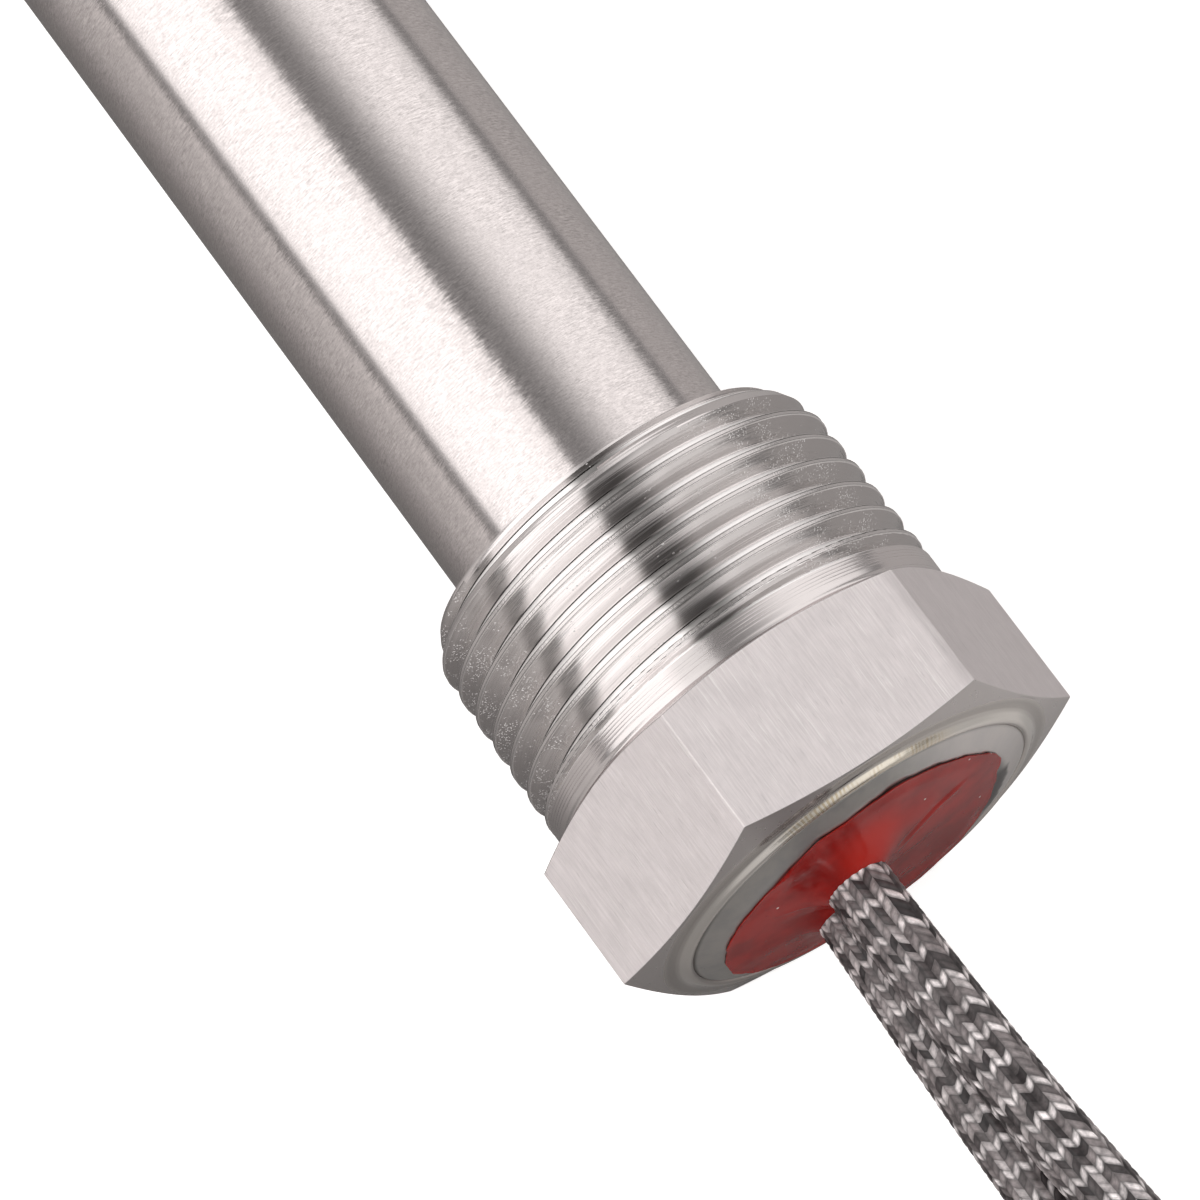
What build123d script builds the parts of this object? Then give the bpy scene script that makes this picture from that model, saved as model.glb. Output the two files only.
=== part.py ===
from build123d import *
import math
import os

# Cartridge heater with a welded-on screw fitting, lying on a flat surface.
# Millimetres. Everything on the heater itself is laid out in its own straight
# frame first: +X runs along the axis from the closed tip to the lead end, the
# axis is y = z = 0, and x = 0 is where the lead-side corners of the hexagon
# end. It is then laid down on the tip and on one flat of the hexagon.

os.makedirs("parts", exist_ok=True)

# ---- driving dimensions -------------------------------------------------
SHEATH_OD = 19.05          # 3/4 in sheath
SHEATH_WALL = 1.25
SHEATH_R = SHEATH_OD / 2
BORE_R = SHEATH_R - SHEATH_WALL
X_TIP = -158.0             # outer face of the closed tip
TIP_WELD_T = 1.0           # closure weld cap, its rim rounded by as much
END_CAP_T = 3.0
X_SHEATH_END = 1.4         # lead end of the sheath, just inside the weld bead
SEAT_R = SHEATH_R - 0.2    # the fitting sits on a seat turned under the size of the sheath

HEX_AF = 26.8              # across flats
HEX_RC = HEX_AF / 2 / math.cos(math.pi / 6)
X_HEX_CORNER_TUBE = -7.97  # where the corners end on the sheath side
X_HEX_FACE_TUBE = -8.8
X_HEX_FACE_LEAD = 0.6
R_FACE_LEAD = 13.2         # circle where the lead-side chamfer ends
R_COLLAR = 13.25           # turned collar between the hexagon and the thread

THREAD_END_X = -24.0       # small end of the taper thread
THREAD_TOP_X = -11.0       # large end
THREAD_TOP_R = 13.30       # crest radius at the large end
TAPER = 1 / 32             # radius per length, 1:16 on the diameter
THREAD_CHAMFER_R = 12.0
THREAD_CHAMFER_X = -22.4
THREAD_CHAMFER_TOP_R = THREAD_TOP_R + (THREAD_CHAMFER_X - THREAD_TOP_X) * TAPER

BEAD_OUT_R = 11.25         # toe of the weld bead on the face of the hexagon
BEAD_TOP_R = 9.6
BEAD_IN_R = 8.3
BEAD_TOP_X = 1.9
SEAL_APEX_X = 3.05         # where the seal meets the leads

CORE_R = 5.9               # ceramic cores
WINDING_R = 6.6
X_FILL_TIP = -149.0
X_FILL_HEAD = -22.0
X_WIND_TIP = -145.0
X_WIND_HEAD = -30.0
CORES = 4
PIN_D = 2.2
X_PIN_TIP = -84.0
X_PIN_HEAD = -13.0
HEAD_SPACER_T = 4.0
CRIMP_R = 1.8
X_CRIMP_TIP = -17.5
X_CRIMP_HEAD = -9.0
X_POT_HEAD = -8.0          # cement below, red seal above

LEAD_D = 3.9               # over the glass braid
LEAD_Y = -1.6              # the pair of leads leaves a little off the middle
LEAD_Z = 2.0               # one above and one below the axis
STRAND_D = 2.2

TIE_X = 77.0               # tie round the folded leads, along the route
TIE_WIDTH = 4.0
TIE_T = 0.8

STUD_HOLE_D = 4.3          # ring terminals for an M4 stud
RING_OD = 9.0
TONGUE_T = 0.9
BARREL_L = 6.0
COLLAR_BACK, COLLAR_FRONT, COLLAR_OD = 6.0, 4.0, 5.0

# ---- lying down ---------------------------------------------------------
# The hexagon rests on the sheath-side end of its lower flat and the tip on the
# lowest line of its rounded rim.
X_REST = X_HEX_CORNER_TUBE - math.tan(math.radians(21)) * (HEX_RC - HEX_AF / 2)
_dx = X_REST - (X_TIP + TIP_WELD_T)
_dz = HEX_AF / 2 - (SHEATH_R - TIP_WELD_T)
TILT = math.degrees(math.atan2(_dz, _dx) - math.asin(TIP_WELD_T / math.hypot(_dx, _dz)))
X_SHIFT = 77.9             # puts the origin under the middle of the heater
print("tilt_deg", round(TILT, 4), "x_rest", round(X_REST, 4))


def lay(part):
    """From the heater's straight frame to where it lies, z = 0 the surface."""
    part = Pos(-X_REST, 0, HEX_AF / 2) * part
    part = Rot(0, -TILT, 0) * part
    return Pos(X_REST + X_SHIFT, 0, 0) * part


made = {}


def put(name, part):
    part.label = name
    made[name] = part
    export_step(part, "parts/" + name + ".step")


def turned(points):
    """A body of revolution about X from (x, r) points."""
    wire = Polyline(*[(x, 0, r) for x, r in points], close=True)
    return revolve(make_face(wire), Axis.X)


def rod(x0, x1, r, y=0.0, z=0.0):
    return Pos((x0 + x1) / 2, y, z) * Rot(0, 90, 0) * Cylinder(r, x1 - x0)


def both(x0, x1, r):
    return rod(x0, x1, r, LEAD_Y, LEAD_Z) + rod(x0, x1, r, LEAD_Y, -LEAD_Z)


# ---- sheath and its closed tip -----------------------------------------
x_tube_tip = X_TIP + TIP_WELD_T
tube = rod(x_tube_tip, THREAD_END_X, SHEATH_R) + rod(THREAD_END_X, X_SHEATH_END, SEAT_R)
put("sheath_tube", lay(tube - rod(x_tube_tip - 1, X_SHEATH_END + 1, BORE_R)))

rim_c = (x_tube_tip, 0, SHEATH_R - TIP_WELD_T)
mid = (
    x_tube_tip - TIP_WELD_T * math.sin(math.radians(45)),
    0,
    SHEATH_R - TIP_WELD_T + TIP_WELD_T * math.cos(math.radians(45)),
)
cap_wire = Wire(
    [
        Line((x_tube_tip, 0, 0), (x_tube_tip, 0, SHEATH_R)),
        ThreePointArc((x_tube_tip, 0, SHEATH_R), mid, (X_TIP, 0, SHEATH_R - TIP_WELD_T)),
        Line((X_TIP, 0, SHEATH_R - TIP_WELD_T), (X_TIP, 0, 0)),
        Line((X_TIP, 0, 0), (x_tube_tip, 0, 0)),
    ]
)
put("tip_weld", lay(revolve(make_face(cap_wire), Axis.X)))
put("end_cap", lay(rod(x_tube_tip, x_tube_tip + END_CAP_T, BORE_R)))
put("tip_spacer", lay(rod(x_tube_tip + END_CAP_T, X_FILL_TIP, BORE_R)))

# ---- heating part -------------------------------------------------------
step = (X_FILL_HEAD - X_FILL_TIP) / CORES
for i in range(CORES):
    x0 = X_FILL_TIP + i * step
    core = rod(x0, x0 + step, CORE_R)
    for sz in (LEAD_Z, -LEAD_Z):
        core -= rod(x0 - 1, x0 + step + 1, PIN_D / 2, LEAD_Y, sz)
    put("ceramic_core_%d" % (i + 1), lay(core))

put("resistance_winding", lay(rod(X_WIND_TIP, X_WIND_HEAD, WINDING_R) - rod(X_WIND_TIP - 1, X_WIND_HEAD + 1, CORE_R)))
put(
    "magnesia_fill",
    lay(
        turned(
            [
                (X_FILL_TIP, CORE_R),
                (X_FILL_TIP, BORE_R),
                (X_FILL_HEAD, BORE_R),
                (X_FILL_HEAD, CORE_R),
                (X_WIND_HEAD, CORE_R),
                (X_WIND_HEAD, WINDING_R),
                (X_WIND_TIP, WINDING_R),
                (X_WIND_TIP, CORE_R),
            ]
        )
    ),
)

# ---- head: ceramic bush, cement, pins, crimps --------------------------
x_bush = X_FILL_HEAD + HEAD_SPACER_T
bush = rod(X_FILL_HEAD, x_bush, BORE_R)
cement = rod(x_bush, X_POT_HEAD, BORE_R)
for sz in (LEAD_Z, -LEAD_Z):
    bush -= rod(X_FILL_HEAD - 1, x_bush + 1, PIN_D / 2, LEAD_Y, sz)
    cement -= rod(x_bush - 1, X_POT_HEAD + 1, LEAD_D / 2, LEAD_Y, sz)
put("head_bush", lay(bush))
put("head_cement", lay(cement))

for tag, sz in (("a", LEAD_Z), ("b", -LEAD_Z)):
    put("terminal_pin_" + tag, lay(rod(X_PIN_TIP, X_PIN_HEAD, PIN_D / 2, LEAD_Y, sz)))
    put(
        "crimp_" + tag,
        lay(rod(X_CRIMP_TIP, X_CRIMP_HEAD, CRIMP_R, LEAD_Y, sz) - rod(X_CRIMP_TIP - 1, X_CRIMP_HEAD + 1, PIN_D / 2, LEAD_Y, sz)),
    )
    put(
        "crimp_sleeve_" + tag,
        lay(rod(x_bush, X_POT_HEAD, LEAD_D / 2, LEAD_Y, sz) - rod(x_bush - 1, X_POT_HEAD + 1, CRIMP_R, LEAD_Y, sz)),
    )
    put("lead_%s_strands_head" % tag, lay(rod(X_PIN_HEAD, X_POT_HEAD, STRAND_D / 2, LEAD_Y, sz)))

# ---- screw fitting ------------------------------------------------------
fitting = turned(
    [
        (THREAD_END_X, SEAT_R),
        (THREAD_END_X, THREAD_CHAMFER_R),
        (THREAD_CHAMFER_X, THREAD_CHAMFER_TOP_R),
        (THREAD_TOP_X, THREAD_TOP_R),
        (THREAD_TOP_X, R_COLLAR),
        (X_HEX_FACE_TUBE, R_COLLAR),
        (X_HEX_FACE_TUBE, SEAT_R),
    ]
)
hexagon = extrude(
    Plane(origin=(X_HEX_FACE_TUBE, 0, 0), x_dir=(0, 1, 0), z_dir=(1, 0, 0)) * RegularPolygon(HEX_RC, 6),
    X_HEX_FACE_LEAD - X_HEX_FACE_TUBE,
)
lead_slope = X_HEX_FACE_LEAD / (HEX_RC - R_FACE_LEAD)
tube_slope = math.tan(math.radians(21))
chamfers = turned(
    [
        (X_HEX_FACE_TUBE, 0),
        (X_HEX_FACE_TUBE, HEX_RC + (X_HEX_FACE_TUBE - X_HEX_CORNER_TUBE) / tube_slope),
        (X_HEX_CORNER_TUBE + tube_slope, HEX_RC + 1),
        (-lead_slope, HEX_RC + 1),
        (X_HEX_FACE_LEAD, R_FACE_LEAD),
        (X_HEX_FACE_LEAD, 0),
    ]
)
hexagon = (hexagon & chamfers) - rod(X_HEX_FACE_TUBE - 1, X_HEX_FACE_LEAD + 1, SEAT_R)
put("hex_fitting", lay(fitting + hexagon))

# ---- weld bead on the lead face, standing over the end of the sheath ----
bead_wire = Wire(
    [
        Line((X_HEX_FACE_LEAD, 0, SEAT_R), (X_HEX_FACE_LEAD, 0, BEAD_OUT_R)),
        ThreePointArc((X_HEX_FACE_LEAD, 0, BEAD_OUT_R), (1.58, 0, 10.6), (BEAD_TOP_X, 0, BEAD_TOP_R)),
        Line((BEAD_TOP_X, 0, BEAD_TOP_R), (BEAD_TOP_X, 0, BEAD_IN_R)),
        Line((BEAD_TOP_X, 0, BEAD_IN_R), (X_SHEATH_END, 0, BEAD_IN_R)),
        Line((X_SHEATH_END, 0, BEAD_IN_R), (X_SHEATH_END, 0, SEAT_R)),
        Line((X_SHEATH_END, 0, SEAT_R), (X_HEX_FACE_LEAD, 0, SEAT_R)),
    ]
)
put("fitting_weld", lay(revolve(make_face(bead_wire), Axis.X)))

# ---- red silicone seal --------------------------------------------------
seal = turned(
    [
        (X_POT_HEAD, 0),
        (X_POT_HEAD, BORE_R),
        (X_SHEATH_END, BORE_R),
        (X_SHEATH_END, BEAD_IN_R),
        (BEAD_TOP_X, BEAD_IN_R),
        (BEAD_TOP_X, BEAD_TOP_R),
        (BEAD_TOP_X + 0.15, BEAD_TOP_R - 0.2),
        (SEAL_APEX_X - 0.35, 5.6),
        (SEAL_APEX_X, 4.4),
        (SEAL_APEX_X, 0),
    ]
)
for sz in (LEAD_Z, -LEAD_Z):
    seal -= rod(X_POT_HEAD - 1, SEAL_APEX_X + 1, LEAD_D / 2, LEAD_Y, sz)
put("silicone_seal", lay(seal))

# ---- the two leads, folded once and tied --------------------------------
# Points as they lie, before X_SHIFT. Both leave along the tilted axis, sink to
# the surface, run out side by side, turn round and come back to the tie.


def on_axis(x, z):
    """A point of the heater's straight frame, as it lies, before X_SHIFT."""
    c, s = math.cos(math.radians(TILT)), math.sin(math.radians(TILT))
    dx, dz = x - X_REST, z + HEX_AF / 2
    return (X_REST + dx * c - dz * s, LEAD_Y, dx * s + dz * c)


LOW = LEAD_D / 2
TIED = TIE_T + LEAD_D / 2
ROUTE_A = [
    on_axis(X_POT_HEAD, LEAD_Z),
    on_axis(13.4, LEAD_Z),
    (29.0, -0.2, 13.3),
    (43.0, 0.5, 6.3),
    (57.0, 0.3, LOW + 0.15),
    (70.5, -0.2, TIED),
    (84.0, 0.0, TIED),
    (96.6, -7.2, LOW),
    (109.4, -11.4, LOW),
    (117.3, -8.9, LOW),
    (122.2, -2.1, LOW),
    (122.2, 6.1, LOW),
    (117.3, 12.9, LOW),
    (109.4, 15.4, LOW),
    (96.6, 11.2, LOW),
    (84.0, 4.1, TIED),
    (70.5, 4.3, TIED),
    (59.0, 6.4, TIED),
    (48.0, 11.2, TIED),
]
ROUTE_B = [
    on_axis(X_POT_HEAD, -LEAD_Z),
    on_axis(10.4, -LEAD_Z),
    (24.0, -2.2, 10.4),
    (38.0, -3.4, 5.8),
    (53.5, -4.2, LOW + 0.15),
    (69.0, -4.4, TIED),
    (82.9, -4.2, TIED),
    (94.9, -11.0, LOW),
    (109.4, -15.7, LOW),
    (119.8, -12.3, LOW),
    (126.3, -3.5, LOW),
    (126.3, 7.5, LOW),
    (119.8, 16.3, LOW),
    (109.4, 19.7, LOW),
    (94.9, 15.0, LOW),
    (82.9, 8.3, TIED),
    (72.0, 9.4, TIED),
    (60.5, 14.6, TIED),
]


def lead(points):
    """A round tube body along straight runs joined by tangent arcs."""
    pts = [Vector(x + X_SHIFT, y, z) for x, y, z in points]
    runs = [(b - a).length for a, b in zip(pts, pts[1:])]
    rad, turns = [], []
    for i in range(1, len(pts) - 1):
        turn = math.radians((pts[i] - pts[i - 1]).get_angle(pts[i + 1] - pts[i]))
        rad.append(0.45 * min(runs[i - 1], runs[i]) / math.tan(turn / 2))
        turns.append(turn)
    path = FilletPolyline(*pts, radius=rad)
    length = sum(runs) - sum(2 * r * math.tan(t / 2) - r * t for r, t in zip(rad, turns))
    start = Plane(origin=pts[0], z_dir=(pts[1] - pts[0]).normalized())
    body = sweep(start * Circle(LEAD_D / 2), path=path)
    want = math.pi * (LEAD_D / 2) ** 2 * length
    print("radii", [round(r, 1) for r in rad])
    print("runs", [round(r, 1) for r in runs])
    print("length", round(length, 2), "path", round(path.length, 2), "volume", round(body.volume, 2), "wanted", round(want, 2))
    return body


for tag, route in (("a", ROUTE_A), ("b", ROUTE_B)):
    put("lead_" + tag, lead(route))
    # terminal: built along +X from the cut end of the lead, then turned to it
    (px, py, _), (ex, ey, ez) = route[-2], route[-1]
    head = math.degrees(math.atan2(ey - py, ex - px))
    place = Pos(ex + X_SHIFT, ey, 0) * Rot(0, 0, head)
    put("lead_%s_strands_end" % tag, place * (rod(0, BARREL_L + 1, STRAND_D / 2, 0, ez)))
    z0 = ez - LEAD_D / 2
    ring_x = BARREL_L + 1.6 + RING_OD / 2
    barrel = rod(0, BARREL_L, LEAD_D / 2, 0, ez)
    tongue = Pos(ring_x, 0, z0 + TONGUE_T / 2) * Cylinder(RING_OD / 2, TONGUE_T)
    tongue += Pos((BARREL_L - 2 + ring_x) / 2, 0, z0 + TONGUE_T / 2) * Box(ring_x - BARREL_L + 2, 4.4, TONGUE_T)
    term = barrel + tongue
    term -= rod(-1, BARREL_L + 1, STRAND_D / 2, 0, ez)
    term -= Pos(ring_x, 0, z0 + TONGUE_T / 2) * Cylinder(STUD_HOLE_D / 2, 3 * TONGUE_T)
    put("ring_terminal_" + tag, place * term)
    print("terminal", tag, "heading", round(head, 4), "hole", [round(v, 3) for v in (place * Pos(ring_x, 0, z0)).position])
    put(
        "collar_" + tag,
        place * (rod(-COLLAR_BACK, COLLAR_FRONT, COLLAR_OD / 2, 0, ez) - rod(-COLLAR_BACK - 1, COLLAR_FRONT + 1, LEAD_D / 2, 0, ez)),
    )

# ---- tie round the four runs --------------------------------------------
y0, y1 = -6.45, 11.3
tie_out = Pos(TIE_X + X_SHIFT, (y0 + y1) / 2, TIE_T + LEAD_D / 2) * Rot(0, 90, 0)
outer = extrude(RectangleRounded(LEAD_D + 2 * TIE_T, y1 - y0 + 2 * TIE_T, LEAD_D / 2 + TIE_T - 0.01), TIE_WIDTH / 2, both=True)
inner = extrude(RectangleRounded(LEAD_D + 0.08, y1 - y0, LEAD_D / 2 + 0.03), TIE_WIDTH, both=True)
tie = tie_out * (outer - inner)
tie += Pos(TIE_X + X_SHIFT, 2.4, 2 * TIE_T + LEAD_D + 1.2) * Box(TIE_WIDTH + 1.4, 5.0, 2.6)
put("hank_tie", tie)

cord = ("lead_", "ring_terminal", "collar_", "hank_tie")
body = [p for n, p in made.items() if not n.startswith(cord) or n.endswith("strands_head")]
lo = [min(getattr(p.bounding_box().min, a) for p in body) for a in "XYZ"]
hi = [max(getattr(p.bounding_box().max, a) for p in body) for a in "XYZ"]
print("heater box", [round(v, 3) for v in lo], [round(v, 3) for v in hi])
print("nodes", len(made))
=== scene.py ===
import math

import bmesh
import bpy
import numpy as np
from mathutils import Matrix
from mathutils.geometry import delaunay_2d_cdt


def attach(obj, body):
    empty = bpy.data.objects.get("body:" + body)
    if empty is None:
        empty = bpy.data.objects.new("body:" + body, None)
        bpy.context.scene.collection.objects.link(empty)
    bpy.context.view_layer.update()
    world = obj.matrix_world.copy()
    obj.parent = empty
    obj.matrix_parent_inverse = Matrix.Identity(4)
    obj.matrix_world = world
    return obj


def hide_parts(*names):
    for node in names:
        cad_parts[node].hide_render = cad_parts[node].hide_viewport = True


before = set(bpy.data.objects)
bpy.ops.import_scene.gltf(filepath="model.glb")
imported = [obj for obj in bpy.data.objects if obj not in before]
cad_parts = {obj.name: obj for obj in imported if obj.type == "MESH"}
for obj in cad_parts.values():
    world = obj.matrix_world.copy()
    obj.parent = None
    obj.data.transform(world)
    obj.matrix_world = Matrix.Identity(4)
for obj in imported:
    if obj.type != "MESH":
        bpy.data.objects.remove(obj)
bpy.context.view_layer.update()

# ---- frames ---------------------------------------------------------------
# The heater has a straight frame of its own, in millimetres: +X along the axis
# towards the leads, x = 0 where the lead-side corners of the hexagon end, angles
# from +Y towards +Z. It lies tilted by TILT on its tip and one flat.
TILT = math.radians(1.4973)
CT, ST = math.cos(TILT), math.sin(TILT)
X0, Z0, XR = 69.1343, 13.4, 8.7657


def to_world(p):
    """Millimetres in the heater's straight frame to metres where it lies."""
    p = np.asarray(p, float)
    x, z = p[..., 0] + XR, p[..., 2] + Z0
    return np.stack([X0 + x * CT - z * ST, p[..., 1], x * ST + z * CT], -1) / 1000


def polar(x, r, a):
    """A point of the straight frame from x, radius and angle, then in the world."""
    x, r, a = np.broadcast_arrays(np.asarray(x, float), np.asarray(r, float), np.asarray(a, float))
    return to_world(np.stack([x, r * np.cos(a), r * np.sin(a)], -1))


def smooth(x, a, b):
    t = np.clip((np.asarray(x, float) - a) / (b - a), 0, 1)
    return t * t * (3 - 2 * t)


# ---- camera ---------------------------------------------------------------
cam_data = bpy.data.cameras.new("view")
cam_data.sensor_width = 36.0
cam_data.sensor_fit = "HORIZONTAL"
cam_data.lens = 226.894
cam_data.clip_start = 0.05
cam_data.clip_end = 20.0
cam = bpy.data.objects.new("view", cam_data)
bpy.context.scene.collection.objects.link(cam)
cam.matrix_world = Matrix(
    (
        (0.565951, -0.773574, 0.285104, 0.181017),
        (0.823967, 0.519026, -0.227354, -0.101807),
        (0.027899, 0.363588, 0.931142, 0.416324),
        (0.0, 0.0, 0.0, 1.0),
    )
)
bpy.context.scene.camera = cam
bpy.context.scene.view_settings.view_transform = "Standard"


# ---- node helpers ---------------------------------------------------------
class Nodes:
    """Short calls that add shader nodes and link them."""

    def __init__(self, tree):
        self.tree = tree
        self.tree.nodes.clear()

    def new(self, kind, **props):
        n = self.tree.nodes.new(kind)
        for k, v in props.items():
            setattr(n, k, v)
        return n

    def link(self, a, b):
        self.tree.links.new(a, b)

    def put(self, socket, value):
        if isinstance(value, bpy.types.NodeSocket):
            self.link(value, socket)
        elif value is not None:
            socket.default_value = value

    def math(self, op, a, b=None, c=None, clamp=False):
        n = self.new("ShaderNodeMath", operation=op, use_clamp=clamp)
        for i, v in enumerate((a, b, c)):
            self.put(n.inputs[i], v)
        return n.outputs[0]

    def vec(self, op, a, b=None, scale=None):
        n = self.new("ShaderNodeVectorMath", operation=op)
        self.put(n.inputs[0], a)
        if b is not None:
            self.put(n.inputs[1], b)
        if scale is not None:
            self.put(n.inputs["Scale"], scale)
        return n.outputs["Value"] if op in ("LENGTH", "DOT_PRODUCT", "DISTANCE") else n.outputs["Vector"]

    def split(self, v):
        n = self.new("ShaderNodeSeparateXYZ")
        self.link(v, n.inputs[0])
        return n.outputs[0], n.outputs[1], n.outputs[2]

    def join(self, x, y, z):
        n = self.new("ShaderNodeCombineXYZ")
        for i, v in enumerate((x, y, z)):
            self.put(n.inputs[i], v)
        return n.outputs[0]

    def noise(self, vector, scale, detail=2.0, rough=0.5, distortion=0.0):
        n = self.new("ShaderNodeTexNoise")
        self.put(n.inputs["Vector"], vector)
        n.inputs["Scale"].default_value = scale
        n.inputs["Detail"].default_value = detail
        n.inputs["Roughness"].default_value = rough
        n.inputs["Distortion"].default_value = distortion
        return n.outputs[0]

    def voronoi(self, vector, scale, feature="F1", out="Distance", random=1.0):
        n = self.new("ShaderNodeTexVoronoi", feature=feature)
        self.put(n.inputs["Vector"], vector)
        n.inputs["Scale"].default_value = scale
        n.inputs["Randomness"].default_value = random
        return n.outputs[out]

    def step(self, value, a, b, lo=0.0, hi=1.0, kind="SMOOTHSTEP"):
        n = self.new("ShaderNodeMapRange", interpolation_type=kind)
        self.put(n.inputs["Value"], value)
        n.inputs["From Min"].default_value = a
        n.inputs["From Max"].default_value = b
        n.inputs["To Min"].default_value = lo
        n.inputs["To Max"].default_value = hi
        return n.outputs["Result"]

    def mix(self, fac, a, b, kind="MIX"):
        n = self.new("ShaderNodeMix", data_type="RGBA", blend_type=kind)
        self.put(n.inputs["Factor"], fac)
        for s, v in ((n.inputs[6], a), (n.inputs[7], b)):
            if isinstance(v, tuple) and len(v) == 3:
                v = v + (1.0,)
            self.put(s, v)
        return n.outputs[2]

    def bump(self, height, strength, distance, normal=None):
        n = self.new("ShaderNodeBump")
        n.inputs["Strength"].default_value = strength
        n.inputs["Distance"].default_value = distance
        self.put(n.inputs["Height"], height)
        if normal is not None:
            self.link(normal, n.inputs["Normal"])
        return n.outputs[0]

    def around(self, y, z):
        """World direction round the heater's axis, from y and z of the straight frame."""
        rad = self.math("SQRT", self.math("ADD", self.math("MULTIPLY", y, y), self.math("MULTIPLY", z, z)))
        ty = self.math("DIVIDE", self.math("MULTIPLY", z, -1.0), rad)
        tz = self.math("DIVIDE", y, rad)
        return self.join(self.math("MULTIPLY", tz, -ST), ty, self.math("MULTIPLY", tz, CT)), rad

    def lean(self, normal, direction, value, amount):
        """The normal leaned along a direction by a 0..1 value about its middle."""
        if normal is None:
            normal = self.new("ShaderNodeNewGeometry").outputs["Normal"]
        by = self.math("MULTIPLY", self.math("SUBTRACT", value, 0.5), amount)
        return self.vec("NORMALIZE", self.vec("ADD", normal, self.vec("SCALE", direction, scale=by)))

    def mm(self):
        """This piece's place in the heater's straight frame, in millimetres."""
        tex = self.new("ShaderNodeTexCoord")
        m = self.new("ShaderNodeMapping", vector_type="POINT")
        m.inputs["Rotation"].default_value = (0.0, TILT, 0.0)
        m.inputs["Location"].default_value = (
            (-X0 * CT - XR) / 1000,
            0.0,
            (X0 * ST - Z0) / 1000,
        )
        self.link(tex.outputs["Object"], m.inputs["Vector"])
        return self.vec("SCALE", m.outputs[0], scale=1000.0)

    def plain_mm(self):
        tex = self.new("ShaderNodeTexCoord")
        return self.vec("SCALE", tex.outputs["Object"], scale=1000.0)

    def finish(self, base, rough, metallic=0.0, normal=None, **sockets):
        p = self.new("ShaderNodeBsdfPrincipled")
        out = self.new("ShaderNodeOutputMaterial")
        if isinstance(base, tuple) and len(base) == 3:
            base = base + (1.0,)
        self.put(p.inputs["Base Color"], base)
        self.put(p.inputs["Roughness"], rough)
        self.put(p.inputs["Metallic"], metallic)
        if normal is not None:
            self.link(normal, p.inputs["Normal"])
        for k, v in sockets.items():
            self.put(p.inputs[k.replace("_", " ")], v)
        self.link(p.outputs[0], out.inputs[0])
        return p


def material(name):
    m = bpy.data.materials.new(name)
    m.use_nodes = True
    return m, Nodes(m.node_tree)


# ---- floor and light ------------------------------------------------------
def make_floor():
    me = bpy.data.meshes.new("floor")
    s = 4.0
    me.from_pydata([(-s, -s, 0), (s, -s, 0), (s, s, 0), (-s, s, 0)], [], [(0, 1, 2, 3)])
    ob = bpy.data.objects.new("floor", me)
    bpy.context.scene.collection.objects.link(ob)
    ob.location = (0, 0, -0.00005)
    m, n = material("floor")
    # Pale board. Towards the lens it is burnt out to white, as in a packshot; what
    # the metal mirrors is a darker board with painted shade near the heater.
    seen = n.new("ShaderNodeBsdfDiffuse")
    seen.inputs["Color"].default_value = (0.80, 0.79, 0.785, 1.0)
    burnt = n.new("ShaderNodeEmission")
    burnt.inputs["Color"].default_value = (1.0, 0.99, 0.985, 1.0)
    burnt.inputs["Strength"].default_value = 0.62
    white = n.new("ShaderNodeAddShader")
    n.link(seen.outputs[0], white.inputs[0])
    n.link(burnt.outputs[0], white.inputs[1])
    x, y, z = n.split(n.plain_mm())
    # painted shade: the mirrored board is darker near the heater on the -Y side and in front of the lead end
    side = n.math("ADD", n.step(y, -8.0, -42.0, 0.25, 0.56), n.step(y, -42.0, -120.0, 0.0, 0.12))
    side = n.math("MULTIPLY", side, n.step(y, -420.0, -200.0, 0.35, 1.0))
    other = n.step(y, 2.0, 22.0, 0.0, 1.0)
    amount = n.math("ADD", n.math("MULTIPLY", side, n.math("SUBTRACT", 1.0, other)), n.math("MULTIPLY", 0.49, other))
    front = n.math("MULTIPLY", n.step(x, 81.0, 87.0), n.step(x, 150.0, 104.0))
    front = n.math("MULTIPLY", front, n.step(n.math("ABSOLUTE", y), 60.0, 24.0))
    near = n.step(y, -16.0, 12.0, 0.32, 0.63)
    amount = n.math("ADD", n.math("MULTIPLY", amount, n.math("SUBTRACT", 1.0, front)), n.math("MULTIPLY", near, front))
    board = n.new("ShaderNodeBsdfDiffuse")
    n.link(n.join(amount, n.math("MULTIPLY", amount, 0.975), n.math("MULTIPLY", amount, 0.965)), board.inputs["Color"])
    lp = n.new("ShaderNodeLightPath")
    both = n.new("ShaderNodeMixShader")
    n.link(lp.outputs["Is Camera Ray"], both.inputs[0])
    n.link(board.outputs[0], both.inputs[1])
    n.link(white.outputs[0], both.inputs[2])
    out = n.new("ShaderNodeOutputMaterial")
    n.link(both.outputs[0], out.inputs[0])
    me.materials.append(m)


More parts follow.
